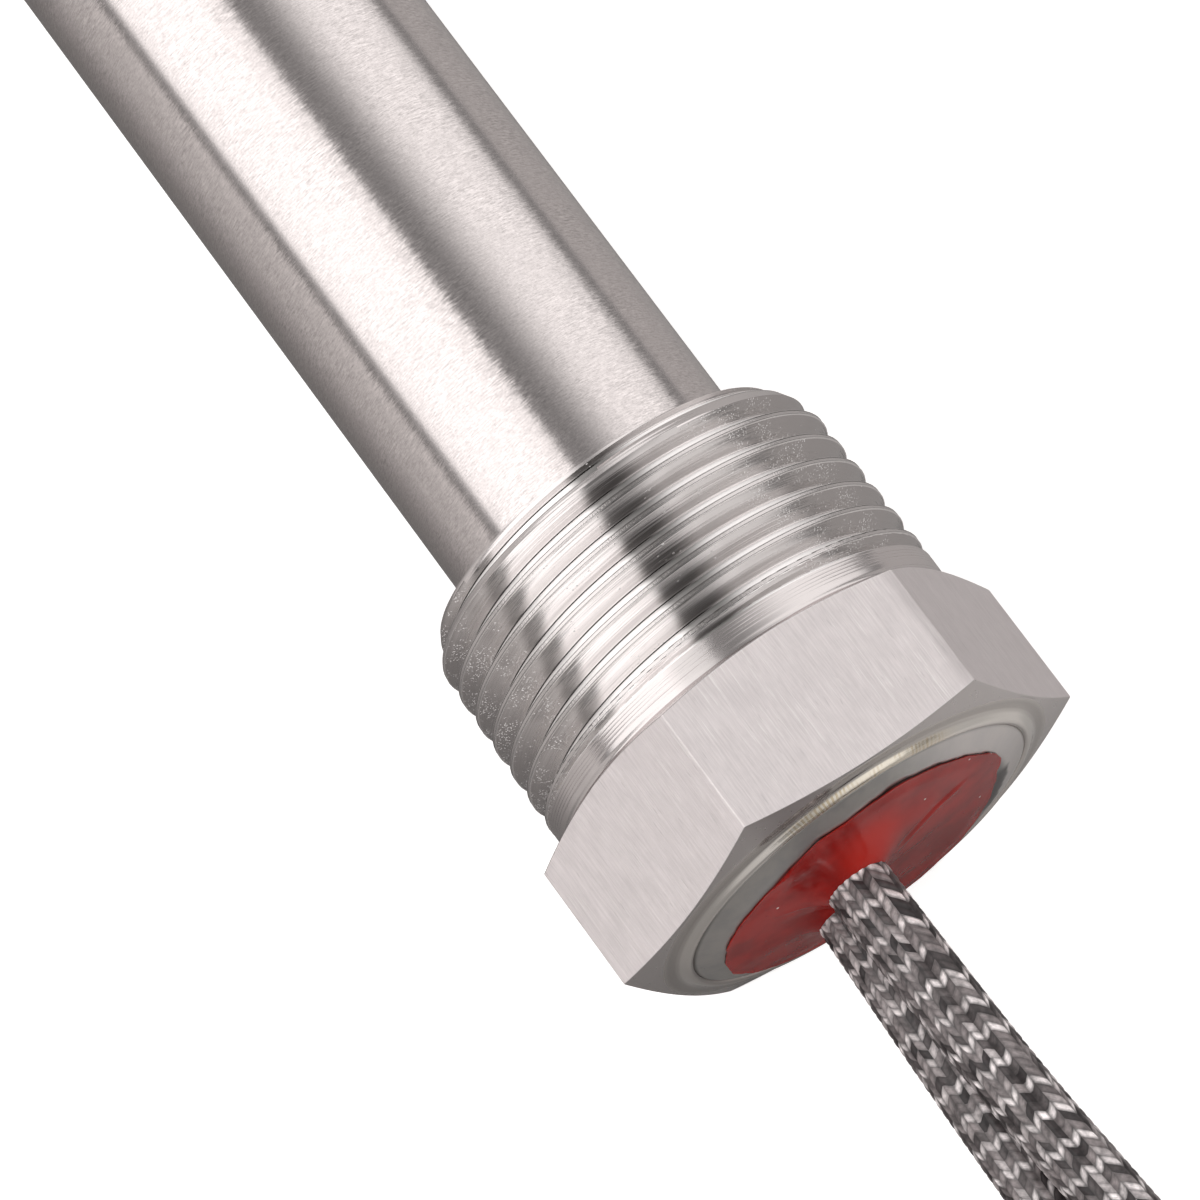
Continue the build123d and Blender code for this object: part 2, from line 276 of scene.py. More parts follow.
def make_light():
    world = bpy.data.worlds.new("studio")
    bpy.context.scene.world = world
    world.use_nodes = True
    n = Nodes(world.node_tree)
    tex = n.new("ShaderNodeTexCoord")
    x, y, z = n.split(tex.outputs["Generated"])
    # angle round the heater's axis: 0 to the side of +Y, 90 overhead, 180 to -Y
    th = n.math("MULTIPLY", n.math("ARCTAN2", z, y), 57.29578)
    ends = n.math("MULTIPLY", n.step(x, -0.999, -0.96), n.step(x, 0.9999, 0.997))
    # large softbox on the -Y side, its near edge brightest
    key = n.math("MULTIPLY", n.step(th, 101.5, 106.5), n.step(th, 176.5, 172.5))
    key = n.math("MULTIPLY", key, n.step(th, 104.0, 124.0, 0.78, 1.0))
    key = n.math("MULTIPLY", key, n.step(th, 150.0, 176.0, 1.0, 0.86))
    key = n.math("MULTIPLY", n.math("MULTIPLY", key, ends), 1.29)
    # softer light on the +Y side that fades towards the top
    fill = n.math("MULTIPLY", n.step(th, 6.0, 17.0), n.step(th, 93.0, 50.0))
    fill = n.math("MULTIPLY", fill, n.step(th, 14.0, 34.0, 0.8, 1.0))
    fill = n.math("MULTIPLY", n.math("MULTIPLY", fill, ends), 0.92)
    total = n.math("ADD", n.math("ADD", key, fill), 0.27)
    # past the lead end the boxes give way to one window, up and to the +Y side
    up = n.math("ADD", n.math("MULTIPLY", y, 0.7), n.math("MULTIPLY", z, 0.7))
    window = n.step(up, -0.10, 0.30, 0.30, 1.02)
    beyond = n.step(x, 0.86, 0.95)
    total = n.math("ADD", n.math("MULTIPLY", total, n.math("SUBTRACT", 1.0, beyond)), n.math("MULTIPLY", window, beyond))
    bg = n.new("ShaderNodeBackground")
    n.link(total, bg.inputs["Strength"])
    bg.inputs["Color"].default_value = (1.0, 0.985, 0.975, 1.0)
    pale = n.new("ShaderNodeBackground")
    pale.inputs["Color"].default_value = (1.0, 0.99, 0.985, 1.0)
    pale.inputs["Strength"].default_value = 1.0
    mixer = n.new("ShaderNodeMixShader")
    lp = n.new("ShaderNodeLightPath")
    n.link(lp.outputs["Is Camera Ray"], mixer.inputs[0])
    n.link(bg.outputs[0], mixer.inputs[1])
    n.link(pale.outputs[0], mixer.inputs[2])
    out = n.new("ShaderNodeOutputWorld")
    n.link(mixer.outputs[0], out.inputs[0])


make_floor()
make_light()


# ---- mesh helper ----------------------------------------------------------
def build(name, verts, faces, smooth_faces=True, merge=0.0):
    """A mesh object from points and faces, linked, with its node's body."""
    me = bpy.data.meshes.new(name)
    if isinstance(faces, np.ndarray):
        f = faces.astype(np.int32)
        me.vertices.add(len(verts))
        me.vertices.foreach_set("co", np.asarray(verts, np.float32).ravel())
        me.loops.add(f.size)
        me.loops.foreach_set("vertex_index", f.ravel())
        me.polygons.add(len(f))
        me.polygons.foreach_set("loop_start", np.arange(0, f.size, f.shape[1], dtype=np.int32))
        me.update(calc_edges=True)
    else:
        me.from_pydata([tuple(v) for v in np.asarray(verts, float)], [], faces)
    if merge:
        bm = bmesh.new()
        bm.from_mesh(me)
        bmesh.ops.remove_doubles(bm, verts=bm.verts, dist=merge)
        bmesh.ops.dissolve_degenerate(bm, edges=bm.edges, dist=merge)
        bmesh.ops.recalc_face_normals(bm, faces=bm.faces)
        bm.to_mesh(me)
        bm.free()
    me.validate()
    me.polygons.foreach_set("use_smooth", np.full(len(me.polygons), smooth_faces))
    me.update()
    ob = bpy.data.objects.new(name, me)
    bpy.context.scene.collection.objects.link(ob)
    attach(ob, "root")
    return ob


def ring_grid(rows, cols, closed_rows=False):
    """Quads of a grid whose columns go round."""
    r = rows if closed_rows else rows - 1
    i, j = np.meshgrid(np.arange(r), np.arange(cols), indexing="ij")
    i2, j2 = (i + 1) % rows, (j + 1) % cols
    return np.stack([i * cols + j, i * cols + j2, i2 * cols + j2, i2 * cols + j], -1).reshape(-1, 4)


# ---- the two leads --------------------------------------------------------
# The points of each lead's route, in metres. They are the control points of a
# smooth spline; the first lies inside the seal.
ROUTE_A = [
    (0.069497, -0.0016, 0.015415),
    (0.090890, -0.00177, 0.015974),
    (0.106900, 0.00069, 0.012420),
    (0.120900, 0.00330, 0.006300),
    (0.134900, 0.0003, 0.00210),
    (0.148400, -0.0002, 0.00275),
    (0.161900, 0.0000, 0.00275),
    (0.174500, -0.0072, 0.00195),
    (0.187300, -0.0114, 0.00195),
    (0.195200, -0.0089, 0.00195),
    (0.200100, -0.0021, 0.00195),
    (0.200100, 0.0061, 0.00195),
    (0.195200, 0.0129, 0.00195),
    (0.187300, 0.0154, 0.00195),
    (0.174500, 0.0112, 0.00195),
    (0.161900, 0.0041, 0.00275),
    (0.148400, 0.0043, 0.00275),
    (0.136900, 0.0064, 0.00275),
    (0.125900, 0.0112, 0.00275),
]
ROUTE_B = [
    (0.069602, -0.0016, 0.011416),
    (0.087996, -0.00245, 0.011897),
    (0.101900, -0.00224, 0.009935),
    (0.115900, -0.00090, 0.005800),
    (0.131400, -0.0042, 0.00225),
    (0.146900, -0.0044, 0.00275),
    (0.160800, -0.0042, 0.00275),
    (0.172800, -0.0110, 0.00195),
    (0.187300, -0.0157, 0.00195),
    (0.197700, -0.0123, 0.00195),
    (0.204200, -0.0035, 0.00195),
    (0.204200, 0.0075, 0.00195),
    (0.197700, 0.0163, 0.00195),
    (0.187300, 0.0197, 0.00195),
    (0.172800, 0.0150, 0.00195),
    (0.160800, 0.0083, 0.00275),
    (0.149900, 0.0094, 0.00275),
    (0.138400, 0.0146, 0.00275),
]
LEAD_R = 0.001955
LAY = 0.0226             # one turn of a carrier along the lead
TILE = LAY / 12          # length of one carrier's three yarns along a column


def spline_points(name, route):
    """The route as a NURBS curve, and the points that it passes through."""
    cu = bpy.data.curves.new(name, "CURVE")
    cu.dimensions = "3D"
    cu.resolution_u = 24
    sp = cu.splines.new("NURBS")
    sp.points.add(len(route) - 1)
    for p, co in zip(sp.points, route):
        p.co = (*co, 1.0)
    sp.order_u = 3
    sp.use_endpoint_u = True
    ob = bpy.data.objects.new(name, cu)
    bpy.context.scene.collection.objects.link(ob)
    deps = bpy.context.evaluated_depsgraph_get()
    me = bpy.data.meshes.new_from_object(ob.evaluated_get(deps))
    pts = np.array([v.co for v in me.vertices], float)
    bpy.data.meshes.remove(me)
    bpy.data.objects.remove(ob)
    bpy.data.curves.remove(cu)
    return pts


def along(pts, n):
    """n points evenly spaced along a line of points, its tangents and length."""
    seg = np.linalg.norm(np.diff(pts, axis=0), axis=1)
    s = np.concatenate([[0], np.cumsum(seg)])
    u = np.linspace(0, s[-1], n)
    q = np.stack([np.interp(u, s, pts[:, k]) for k in range(3)], 1)
    w = max(3, n // 160) | 1
    ker = np.hanning(w + 2)[1:-1]
    ker /= ker.sum()
    pad = w // 2
    ext = np.vstack([2 * q[0] - q[pad:0:-1], q, 2 * q[-1] - q[-2 : -pad - 2 : -1]])
    q = np.stack([np.convolve(ext[:, k], ker, "valid") for k in range(3)], 1)
    t = np.gradient(q, axis=0)
    t /= np.linalg.norm(t, axis=1)[:, None]
    return q, t, u, s[-1]


def carried(t, first):
    """A side direction carried along the tangents without twist."""
    e = np.zeros_like(t)
    v = np.array(first, float)
    for i in range(len(t)):
        v = v - t[i] * (v @ t[i])
        v /= np.linalg.norm(v)
        e[i] = v
    return e


# Columns of floats round the lead: the angle where each begins, and which way
# its yarns lean. Two of them are double width, where a carrier is doubled.
COL_START = [46, 76, 94, 109, 124.5, 139.5, 155, 170, 185, 200, 215, 228, 256, 271, 286, 301, 316, 331, 346, 0.5, 16, 31]
COL_LEAN = [-1] + [1, -1] * 5 + [1] + [-1, 1] * 5
# Yarn tones of the three ends in a carrier, as levels from 0 black to 1 white.
TONES_A = [
    (0.97, 0.40, 0.56), (0.93, 0.30, 0.52), (0.97, 0.14, 0.22), (0.86, 0.44, 0.60), (0.90, 0.52, 0.40),
    (0.84, 0.46, 0.62), (0.88, 0.30, 0.16), (0.80, 0.36, 0.50), (0.92, 0.18, 0.44), (0.86, 0.50, 0.30),
    (0.90, 0.24, 0.48), (0.95, 0.42, 0.58), (0.88, 0.16, 0.36), (0.92, 0.50, 0.34), (0.84, 0.28, 0.56),
    (0.94, 0.40, 0.18), (0.86, 0.34, 0.54), (0.92, 0.46, 0.26), (0.85, 0.30, 0.50), (0.90, 0.22, 0.42),
    (0.92, 0.28, 0.50), (0.94, 0.16, 0.50),
]
TONES_B = [
    (0.90, 0.34, 0.50), (0.86, 0.44, 0.24), (0.92, 0.30, 0.46), (0.84, 0.22, 0.50), (0.86, 0.50, 0.34),
    (0.80, 0.42, 0.52), (0.82, 0.40, 0.36), (0.90, 0.12, 0.14), (0.84, 0.14, 0.18), (0.88, 0.36, 0.24),
    (0.90, 0.28, 0.46), (0.95, 0.40, 0.54), (0.86, 0.20, 0.40), (0.92, 0.46, 0.30), (0.84, 0.32, 0.52),
    (0.92, 0.38, 0.20), (0.86, 0.30, 0.50), (0.90, 0.44, 0.28), (0.85, 0.26, 0.50), (0.88, 0.20, 0.44),
    (0.92, 0.30, 0.52), (0.94, 0.18, 0.46),
]


def tone(v):
    """Linear colour of a yarn level: warm near-black through grey to white."""
    v = np.clip(v, 0, 1)[..., None]
    dark, grey, white = np.array([0.020, 0.014, 0.015]), np.array([0.270, 0.236, 0.236]), np.array([0.92, 0.850, 0.850])
    k = np.clip(v / 0.5, 0, 1)
    m = np.clip((v - 0.5) / 0.5, 0, 1)
    return dark * (1 - k) + grey * k + (white - grey) * m ** 1.15


def braided(name, route, tones, seed, near):
    pts = spline_points(name + "_route", route)
    rng = np.random.default_rng(seed)
    q0, t0, u0, length = along(pts, 900)
    # columns: three strips each, six in a double one
    starts = np.array(COL_START, float)
    widths = (np.roll(starts, -1) - starts) % 360
    ang, shift, colid, part = [], [], [], []
    z = 0.0
    for c, (a, w) in enumerate(zip(starts, widths)):
        k = 6 if w > 25 else 3
        turns = 0.46 if w > 25 else 0.23
        for i in range(k):
            f = i / k
            ang.append(math.radians(a + w * f))
            shift.append(z + COL_LEAN[c] * turns * f)
            colid.append(c)
            part.append(0.0 if i == 0 else 1.0)
        z += COL_LEAN[c] * turns
    ang, shift = np.array(ang), np.array(shift)
    colid, part = np.array(colid), np.array(part)
    cols = len(ang)
    # the ends of the braid are packed closer at the root of the lower lead
    period = TILE * (1 - near * np.exp(-np.maximum(u0 - 0.011, 0) / 0.006))
    phase = np.concatenate([[0], np.cumsum(0.5 * (1 / period[1:] + 1 / period[:-1]) * np.diff(u0))])
    per_row = 9
    lo, hi = -2.0, phase[-1] + 2.0
    rows = int((hi - lo) * per_row)
    base = lo + np.arange(rows) / per_row
    roam = np.random.default_rng(seed + 31).uniform(0, 6.28, (2, len(COL_START)))[:, colid]
    ph = base[:, None] + shift[None, :]
    ph = ph + 0.085 * np.sin(base[:, None] / 2.3 + roam[0]) * np.sin(base[:, None] / 5.9 + roam[1])
    keep = np.clip(ph, 0, phase[-1])
    s = np.interp(keep, phase, u0)
    fl = s / length * (len(q0) - 1)
    i0 = np.clip(fl.astype(int), 0, len(q0) - 2)
    fr = (fl - i0)[..., None]
    centre = q0[i0] * (1 - fr) + q0[i0 + 1] * fr
    e1 = carried(t0, (0, 1, 0))
    e2 = np.cross(t0, e1)
    E1 = e1[i0] * (1 - fr) + e1[i0 + 1] * fr
    E2 = e2[i0] * (1 - fr) + e2[i0 + 1] * fr
    row_in = np.arange(rows) % 3
    yarn = np.where(row_in == 0, -0.018, 0.034)
    cross = np.where(part > 0, 1.0, 0.0)
    bump = yarn[:, None] * (0.35 + 0.65 * cross[None, :]) - 0.044 * (1 - cross[None, :])
    slow = 0.012 * np.sin(s / 0.0173 + seed) + rng.normal(0, 0.0022, s.shape)
    r = LEAD_R + (bump + slow) / 1000
    a = ang[None, :] + np.radians(1.6) * np.sin(s / 0.0061 + 1.7 * ang[None, :] + seed)
    P = centre + r[..., None] * (np.cos(a)[..., None] * E1 + np.sin(a)[..., None] * E2)
    # rows that fall wholly past an end are dropped
    full = (ph.max(1) > 0) & (ph.min(1) < phase[-1])
    first, last = np.argmax(full), len(full) - np.argmax(full[::-1]) - 1
    first, last = max(first - 1, 0), min(last + 1, rows - 1)
    P, s, base_rows = P[first : last + 1], s[first : last + 1], np.arange(first, last + 1)
    rows = len(P)
    # both end rings are flat, and each is closed by a fan
    verts = P.reshape(-1, 3)
    quads = ring_grid(rows, cols)
    fans = []
    head, tail = len(verts), len(verts) + 1
    for j in range(cols):
        j2 = (j + 1) % cols
        fans.append((head, j2, j))
        fans.append((tail, (rows - 1) * cols + j, (rows - 1) * cols + j2))
    verts = np.vstack([verts, centre[0, 0], centre[-1, 0]])
    faces = [tuple(f) for f in quads.tolist()] + fans
    me = bpy.data.meshes.new(name)
    me.from_pydata(verts.tolist(), [], faces)
    # colour of every face, with painted shade at the edges of each yarn and column
    k = len(quads)
    ri = np.repeat(np.arange(rows - 1), cols)
    ci = np.tile(np.arange(cols), rows - 1)
    gr = base_rows[ri]
    which = (gr // 3) % 3
    tab = np.array(tones)
    level = tab[colid[ci], which]
    tile = gr // 3
    spread = np.random.default_rng(seed + 7).normal(0, 1, (tile.max() + 2, len(tones)))
    dice = np.random.default_rng(seed + 19).uniform(0, 1, (tile.max() + 2, len(tones)))[tile, colid[ci]]
    was_white = level > 0.75
    level = level + np.clip(spread[tile, colid[ci]], -2, 2) * np.where(was_white, 0.06, 0.11)
    level = np.where(was_white & (dice < 0.13), 0.50 + dice, level)
    level = np.where(~was_white, level * 0.9, level)
    level = np.where(~was_white & (dice < 0.33), 0.01 + 0.35 * dice, level)
    level = np.where(~was_white & (dice > 0.93), 0.74, level)
    rgb = tone(level)
    corner = np.repeat(rgb[:, None, :], 4, 1)
    low_row = (gr % 3 == 0)
    end_row = (gr % 3 == 2)
    f_row0 = np.where(low_row, 0.16, 1.0)
    f_row1 = np.where(end_row, 0.16, 1.0)
    on_edge0 = np.where(part[ci] == 0, 0.14, 1.0)
    on_edge1 = np.where(part[(ci + 1) % cols] == 0, 0.14, 1.0)
    shade = np.stack([f_row0 * on_edge0, f_row0 * on_edge1, f_row1 * on_edge1, f_row1 * on_edge0], 1)
    white = (level > 0.75)[:, None]
    shade = np.where(white, 0.09 + 0.91 * shade, 0.52 + 0.48 * shade)
    corner = corner * shade[..., None]
    data = np.ones((k * 4 + len(fans) * 3, 4), np.float32)
    data[: k * 4, :3] = corner.reshape(-1, 3)
    data[k * 4 :, :3] = tone(np.array(0.6))
    att = me.color_attributes.new("yarn", "FLOAT_COLOR", "CORNER")
    att.data.foreach_set("color", data.ravel())
    uv = me.uv_layers.new(name="lay")
    uvd = np.zeros((k * 4 + len(fans) * 3, 2), np.float32)
    u_a, u_b = gr * 0.21, (gr + 1) * 0.21
    v_a = ci * 0.17
    v_b = (ci + 1) * 0.17
    uvd[: k * 4] = np.stack([np.stack([u_a, v_a], -1), np.stack([u_a, v_b], -1), np.stack([u_b, v_b], -1), np.stack([u_b, v_a], -1)], 1).reshape(-1, 2)
    uv.data.foreach_set("uv", uvd.ravel())
    bm = bmesh.new()
    bm.from_mesh(me)
    bmesh.ops.remove_doubles(bm, verts=bm.verts, dist=2e-7)
    bmesh.ops.dissolve_degenerate(bm, edges=bm.edges, dist=2e-7)
    bmesh.ops.recalc_face_normals(bm, faces=bm.faces)
    bm.to_mesh(me)
    bm.free()
    me.polygons.foreach_set("use_smooth", np.full(len(me.polygons), True))
    me.update()
    ob = bpy.data.objects.new(name, me)
    bpy.context.scene.collection.objects.link(ob)
    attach(ob, "root")
    return ob, pts, length


def braid_material():
    m, n = material("glass_braid")
    att = n.new("ShaderNodeVertexColor", layer_name="yarn")
    uv = n.new("ShaderNodeUVMap", uv_map="lay")
    u, v, _ = n.split(uv.outputs[0])
    fine = n.noise(n.join(n.math("MULTIPLY", u, 26.0), n.math("MULTIPLY", v, 3.0), 0.0), 1.0, 2.0, 0.6)
    broad = n.noise(n.mm(), 1.9, 2.0, 0.55)
    gain = n.math("MULTIPLY", n.step(fine, 0.25, 0.75, 0.74, 1.24, "LINEAR"), n.step(broad, 0.32, 0.68, 0.62, 1.34, "LINEAR"))
    col = n.vec("SCALE", att.outputs[0], scale=gain)
    h = n.bump(fine, 0.35, 0.00003)
    n.finish(
        col, n.step(fine, 0.3, 0.7, 0.30, 0.46, "LINEAR"), 0.0, h,
        Coat_Weight=0.10, Coat_Roughness=0.16, Specular_IOR_Level=0.38, Sheen_Weight=0.0,
    )
    return m


braid_mat = braid_material()
lead_a, path_a, len_a = braided("lead_a_braid", ROUTE_A, TONES_A, 3, 0.0)
lead_b, path_b, len_b = braided("lead_b_braid", ROUTE_B, TONES_B, 11, 0.24)
for ob, node in ((lead_a, "lead_a"), (lead_b, "lead_b")):
    ob.data.materials.append(braid_mat)
    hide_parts(node)
print("lead lengths", len_a, len_b)

# ---- screw fitting --------------------------------------------------------
SEAT_R = 9.325
THREAD_END = -23.5
PITCH = 1.8143
APOTHEM = 13.4
BREAK = 0.14             # radius on the six long corners
CORNER_D = (APOTHEM - BREAK) / math.cos(math.radians(30))
TANGENT = math.degrees(math.atan2(BREAK * 0.5, CORNER_D + BREAK * math.cos(math.radians(30))))


def fitting_columns():
    """Angles round the fitting: fine at the six corners, even between them."""
    out = []
    for k in range(6):
        c = 60.0 * k
        out += [c - TANGENT, c - TANGENT / 2, c, c + TANGENT / 2, c + TANGENT, c + TANGENT + 0.4]
        a, b = c + TANGENT + 0.4, c + 60 - TANGENT - 0.4
        out += list(np.linspace(a, b, 39)[1:])
    out = sorted({round(v % 360, 6) for v in out})
    return np.radians(np.array(out))


COLS = fitting_columns()


def hex_radius(a):
    d = (np.degrees(a) + 30) % 60 - 30          # from the nearest corner
    d = np.abs(d)
    flat = APOTHEM / np.cos(np.radians(30 - d))
    rd = np.radians(d)
    inside = np.clip(BREAK ** 2 - (CORNER_D * np.sin(rd)) ** 2, 0, None)
    return np.where(d < TANGENT, CORNER_D * np.cos(rd) + np.sqrt(inside), flat)


RH = hex_radius(COLS)


CREST_HALF = 0.150       # half the width of the turned crest
SHOULDER = -10.50        # where the collar's turned shoulder stands


def crest_line(a):
    """x of the middle of a crest at angle a, one of the many a pitch apart."""
    return -21.67 + PITCH * (np.degrees(a) - 193.6) / 360


def crest_radius(x):
    return 13.06 + (x + 21) / 32


def crest_distance(x, a):
    return np.abs(((x - crest_line(a)) / PITCH + 0.5) % 1 - 0.5) * PITCH


def thread_radius(x, a):
    d = crest_distance(x, a)
    depth = (PITCH / 2 - CREST_HALF - 0.03) * 1.732
    rc = np.minimum(crest_radius(x), 13.345)
    up = np.maximum(0, (PITCH / 2 - d) - 0.03) * 1.732
    r = np.minimum(rc, rc - depth + up)
    # the crest is turned flat; its two edges stand up as a fine burr
    edge = CREST_HALF - 0.013
    r = r + 0.017 * np.exp(-(((d - edge) / 0.017) ** 2)) - 0.007 * np.exp(-(((d - 0.05) / 0.03) ** 2)) * (d < CREST_HALF)
    wob = 0.010 * np.sin(a * 3 + x * 1.1) + 0.006 * np.sin(a * 11 + x * 2.3)
    nick = 0.008 * np.sin(a * 47 + x * 5.1) * np.sin(a * 29 - x * 3.3) * np.exp(-(((d - edge) / 0.03) ** 2))
    r = r + nick
    # the collar's sloping shoulder stops the thread
    r = np.maximum(r, np.minimum(13.345, 13.345 - (SHOULDER - x) * 1.732))
    cone = 12.02 + (x - THREAD_END) * 0.5875
    k = 0.02
    h = np.clip(0.5 + 0.5 * (cone - r - wob) / k, 0, 1)
    return cone * (1 - h) + r * h - k * h * (1 - h)


def make_fitting():
    a = COLS[None, :]
    n = len(COLS)
    rows, region = [], []

    def add(x, r, reg):
        rows.append((np.broadcast_to(x, n).astype(float), np.broadcast_to(r, n).astype(float)))
        region.append(reg)

    # bore and small end
    add(THREAD_END, SEAT_R, 3)
    add(THREAD_END, 10.6, 3)
    add(THREAD_END, 11.35, 3)
    add(THREAD_END + 0.0, np.minimum(11.62, thread_radius(THREAD_END + 0 * COLS, COLS) - 0.04), 3)
    # thread: rows follow the helix
    knots = [0, 0.05, 0.09, 0.115, 0.128, 0.140, 0.156, 0.18, 0.26, 0.45, 0.66, 0.81, 0.865]
    one = [-k for k in knots[:0:-1]] + knots + [PITCH / 2]
    top = -11.7
    first = len(rows)
    add(THREAD_END, thread_radius(THREAD_END + 0 * COLS, COLS), 0)
    start = crest_line(COLS)
    m0 = int(math.floor((THREAD_END - start.max()) / PITCH)) - 1
    m1 = int(math.ceil((top - start.min()) / PITCH)) + 1
    for m in range(m0, m1 + 1):
        for k in one:
            x = start + m * PITCH + k
            if x.max() < THREAD_END or x.min() > top:
                continue
            x = np.clip(x, THREAD_END, top)
            add(x, thread_radius(x, COLS), 0)
    last = len(rows)
    add(top, thread_radius(top + 0 * COLS, COLS), 0)
    for x in np.arange(top + 0.024, SHOULDER - 0.001, 0.024):
        add(x, thread_radius(x + 0 * COLS, COLS), 0)
    # collar: five fine turned grooves, then a shallow neck against the hexagon
    for x in np.arange(SHOULDER, -9.50, 0.022):
        g = 0.0
        for c, w in ((-10.40, 0.7), (-10.20, 1.0), (-10.00, 0.9), (-9.80, 1.0), (-9.60, 0.8)):
            g += w * math.exp(-(((x - c) / 0.042) ** 2))
        wave = 0.004 * np.sin(COLS * 2 + x * 3)
        add(x, 13.335 - 0.040 * g + wave, 1)
    for x in np.arange(-9.49, -8.93, 0.055):
        add(x, 13.325 - 0.085 * math.exp(-(((x + 9.24) / 0.17) ** 2)), 1)
    add(-8.90, 13.29, 1)
    add(-8.865, 13.26, 1)
    add(-8.835, 13.235, 1)
    # hexagon
    tube = lambda r: -8.8 + (r - 13.311) * 0.3839
    lead = lambda r: 0.6 - (r - 13.2) * 0.264
    add(-8.8, 13.25, 2)
    add(-8.8, 13.30, 2)
    span = RH - 13.311
    e = np.minimum(0.05, 0.4 * span)
    add(tube(13.311 + 0.15 * span), 13.311 + 0.15 * span, 2)
    add(tube(RH - 3 * e), RH - 3 * e, 2)
    add(tube(RH - e), RH - e, 2)
    add(tube(RH) + e * 0.10, RH - e * 0.25, 2)
    add(tube(RH) + e, RH, 4)
    x1, x2 = tube(RH) + 3 * e, lead(RH) - 0.15
    add(x1, RH, 4)
    for f in np.linspace(0.12, 0.88, 7):
        add(x1 + (x2 - x1) * f, RH, 4)
    add(x2, RH, 4)
    add(lead(RH) - 0.05, RH, 4)
    add(lead(RH) - 0.008, RH - 0.012, 5)
    add(lead(RH - 0.05), RH - 0.05, 5)
    add(lead(RH - np.minimum(0.15, 0.6 * (RH - 13.2))), RH - np.minimum(0.15, 0.6 * (RH - 13.2)), 5)
    for f in (0.66, 0.33):
        r = 13.2 + (RH - 13.2) * 0.75 * f
        add(lead(r), r, 5)
    # lead face: the edge of the weld has drawn it up into a soft ridge
    face = [
        (13.20, 0.600), (13.05, 0.612), (12.90, 0.624), (12.75, 0.640), (12.60, 0.664), (12.46, 0.702), (12.34, 0.756),
        (12.24, 0.822), (12.15, 0.896), (12.06, 0.974), (11.97, 1.046), (11.89, 1.096), (11.81, 1.128), (11.72, 1.142),
        (11.63, 1.136), (11.54, 1.108), (11.46, 1.058), (11.39, 0.980), (11.33, 0.880), (11.15, 0.76), (10.4, 0.65), (SEAT_R, 0.6),
    ]
    rng = np.random.default_rng(5)
    ph = rng.uniform(0, 6.28, 8)
    for r, x in face:
        lump = sum(math.cos(1.7 * r + ph[i]) * np.sin((i + 2) * COLS + ph[i]) / (i + 2) for i in range(6))
        w = math.exp(-(((r - 11.9) / 0.55) ** 2))
        ripple = 0.011 * np.sin(COLS * 118 + 3.0 * r + 4 * np.sin(COLS * 5)) * smooth(np.cos(COLS - math.radians(92)), 0.80, 0.97) * math.exp(-(((r - 12.02) / 0.26) ** 2))
        add(x + w * (0.035 * lump + ripple), np.where(r > 13.19, r, r + 0.05 * lump * w), 6)
    # back through the bore
    for x in np.linspace(0.2, THREAD_END + 0.4, 8):
        add(x, SEAT_R, 3)
    X = np.array([r[0] for r in rows])
    R = np.array([r[1] for r in rows])
    P = polar(X, R, a)
    quads = ring_grid(len(rows), n, closed_rows=True).reshape(len(rows), n, 4)
    # once round, a row of the thread meets the row one pitch further on
    quads[first:last - len(one), -1, 1:3] += len(one) * n
    keep = np.ones(quads.shape[:2], bool)
    keep[last - len(one):last, -1] = False
    quads = quads[keep]
    ob = build("hex_fitting_turned", P.reshape(-1, 3), quads)
    reg = np.repeat(np.array(region)[:, None], n, 1)
    xm = (X + np.roll(X, -1, 0)) / 2
    rm = (R + np.roll(R, -1, 0)) / 2
    thread = reg == 0
    side = ((xm - crest_line(a)) / PITCH + 0.5) % 1 - 0.5
    low = 13.345 - (SHOULDER - xm) * 1.732 < rm - 0.004
    reg[thread & (side < 0)] = 8
    reg[thread & (side >= 0) & ~low] = 8
    reg[thread & (crest_distance(xm, a) > PITCH / 2 - 0.055) & low] = 9
    reg[thread & (crest_distance(xm, a) < CREST_HALF + 0.030) & (rm > crest_radius(xm) - 0.06)] = 10
    # a thin band just inside both crest edges takes a painted burr shadow
    reg[thread & (crest_distance(xm, a) < CREST_HALF - 0.022) & (rm > crest_radius(xm) - 0.05)] = 11
    reg[thread & (crest_distance(xm, a) < CREST_HALF - 0.055) & (rm > crest_radius(xm) - 0.05)] = 7
    reg[thread & (np.abs(rm - 12.02 - (xm - THREAD_END) * 0.5875) < 0.03) & (xm < THREAD_END + 2.2)] = 12
    cone = np.abs(R - 12.02 - (X - THREAD_END) * 0.5875) < 0.03
    reg[thread & cone & (xm < THREAD_END + 0.35)] = 12
    ob.data.polygons.foreach_set("material_index", reg[keep].astype(np.int32))
    bm = bmesh.new()
    bm.from_mesh(ob.data)
    bmesh.ops.remove_doubles(bm, verts=bm.verts, dist=1.5e-7)
    bmesh.ops.dissolve_degenerate(bm, edges=bm.edges, dist=1.5e-7)
    bmesh.ops.recalc_face_normals(bm, faces=bm.faces)
    bm.to_mesh(ob.data)
    bm.free()
    ob.data.set_sharp_from_angle(angle=math.radians(50))
    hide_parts("hex_fitting")
    return ob


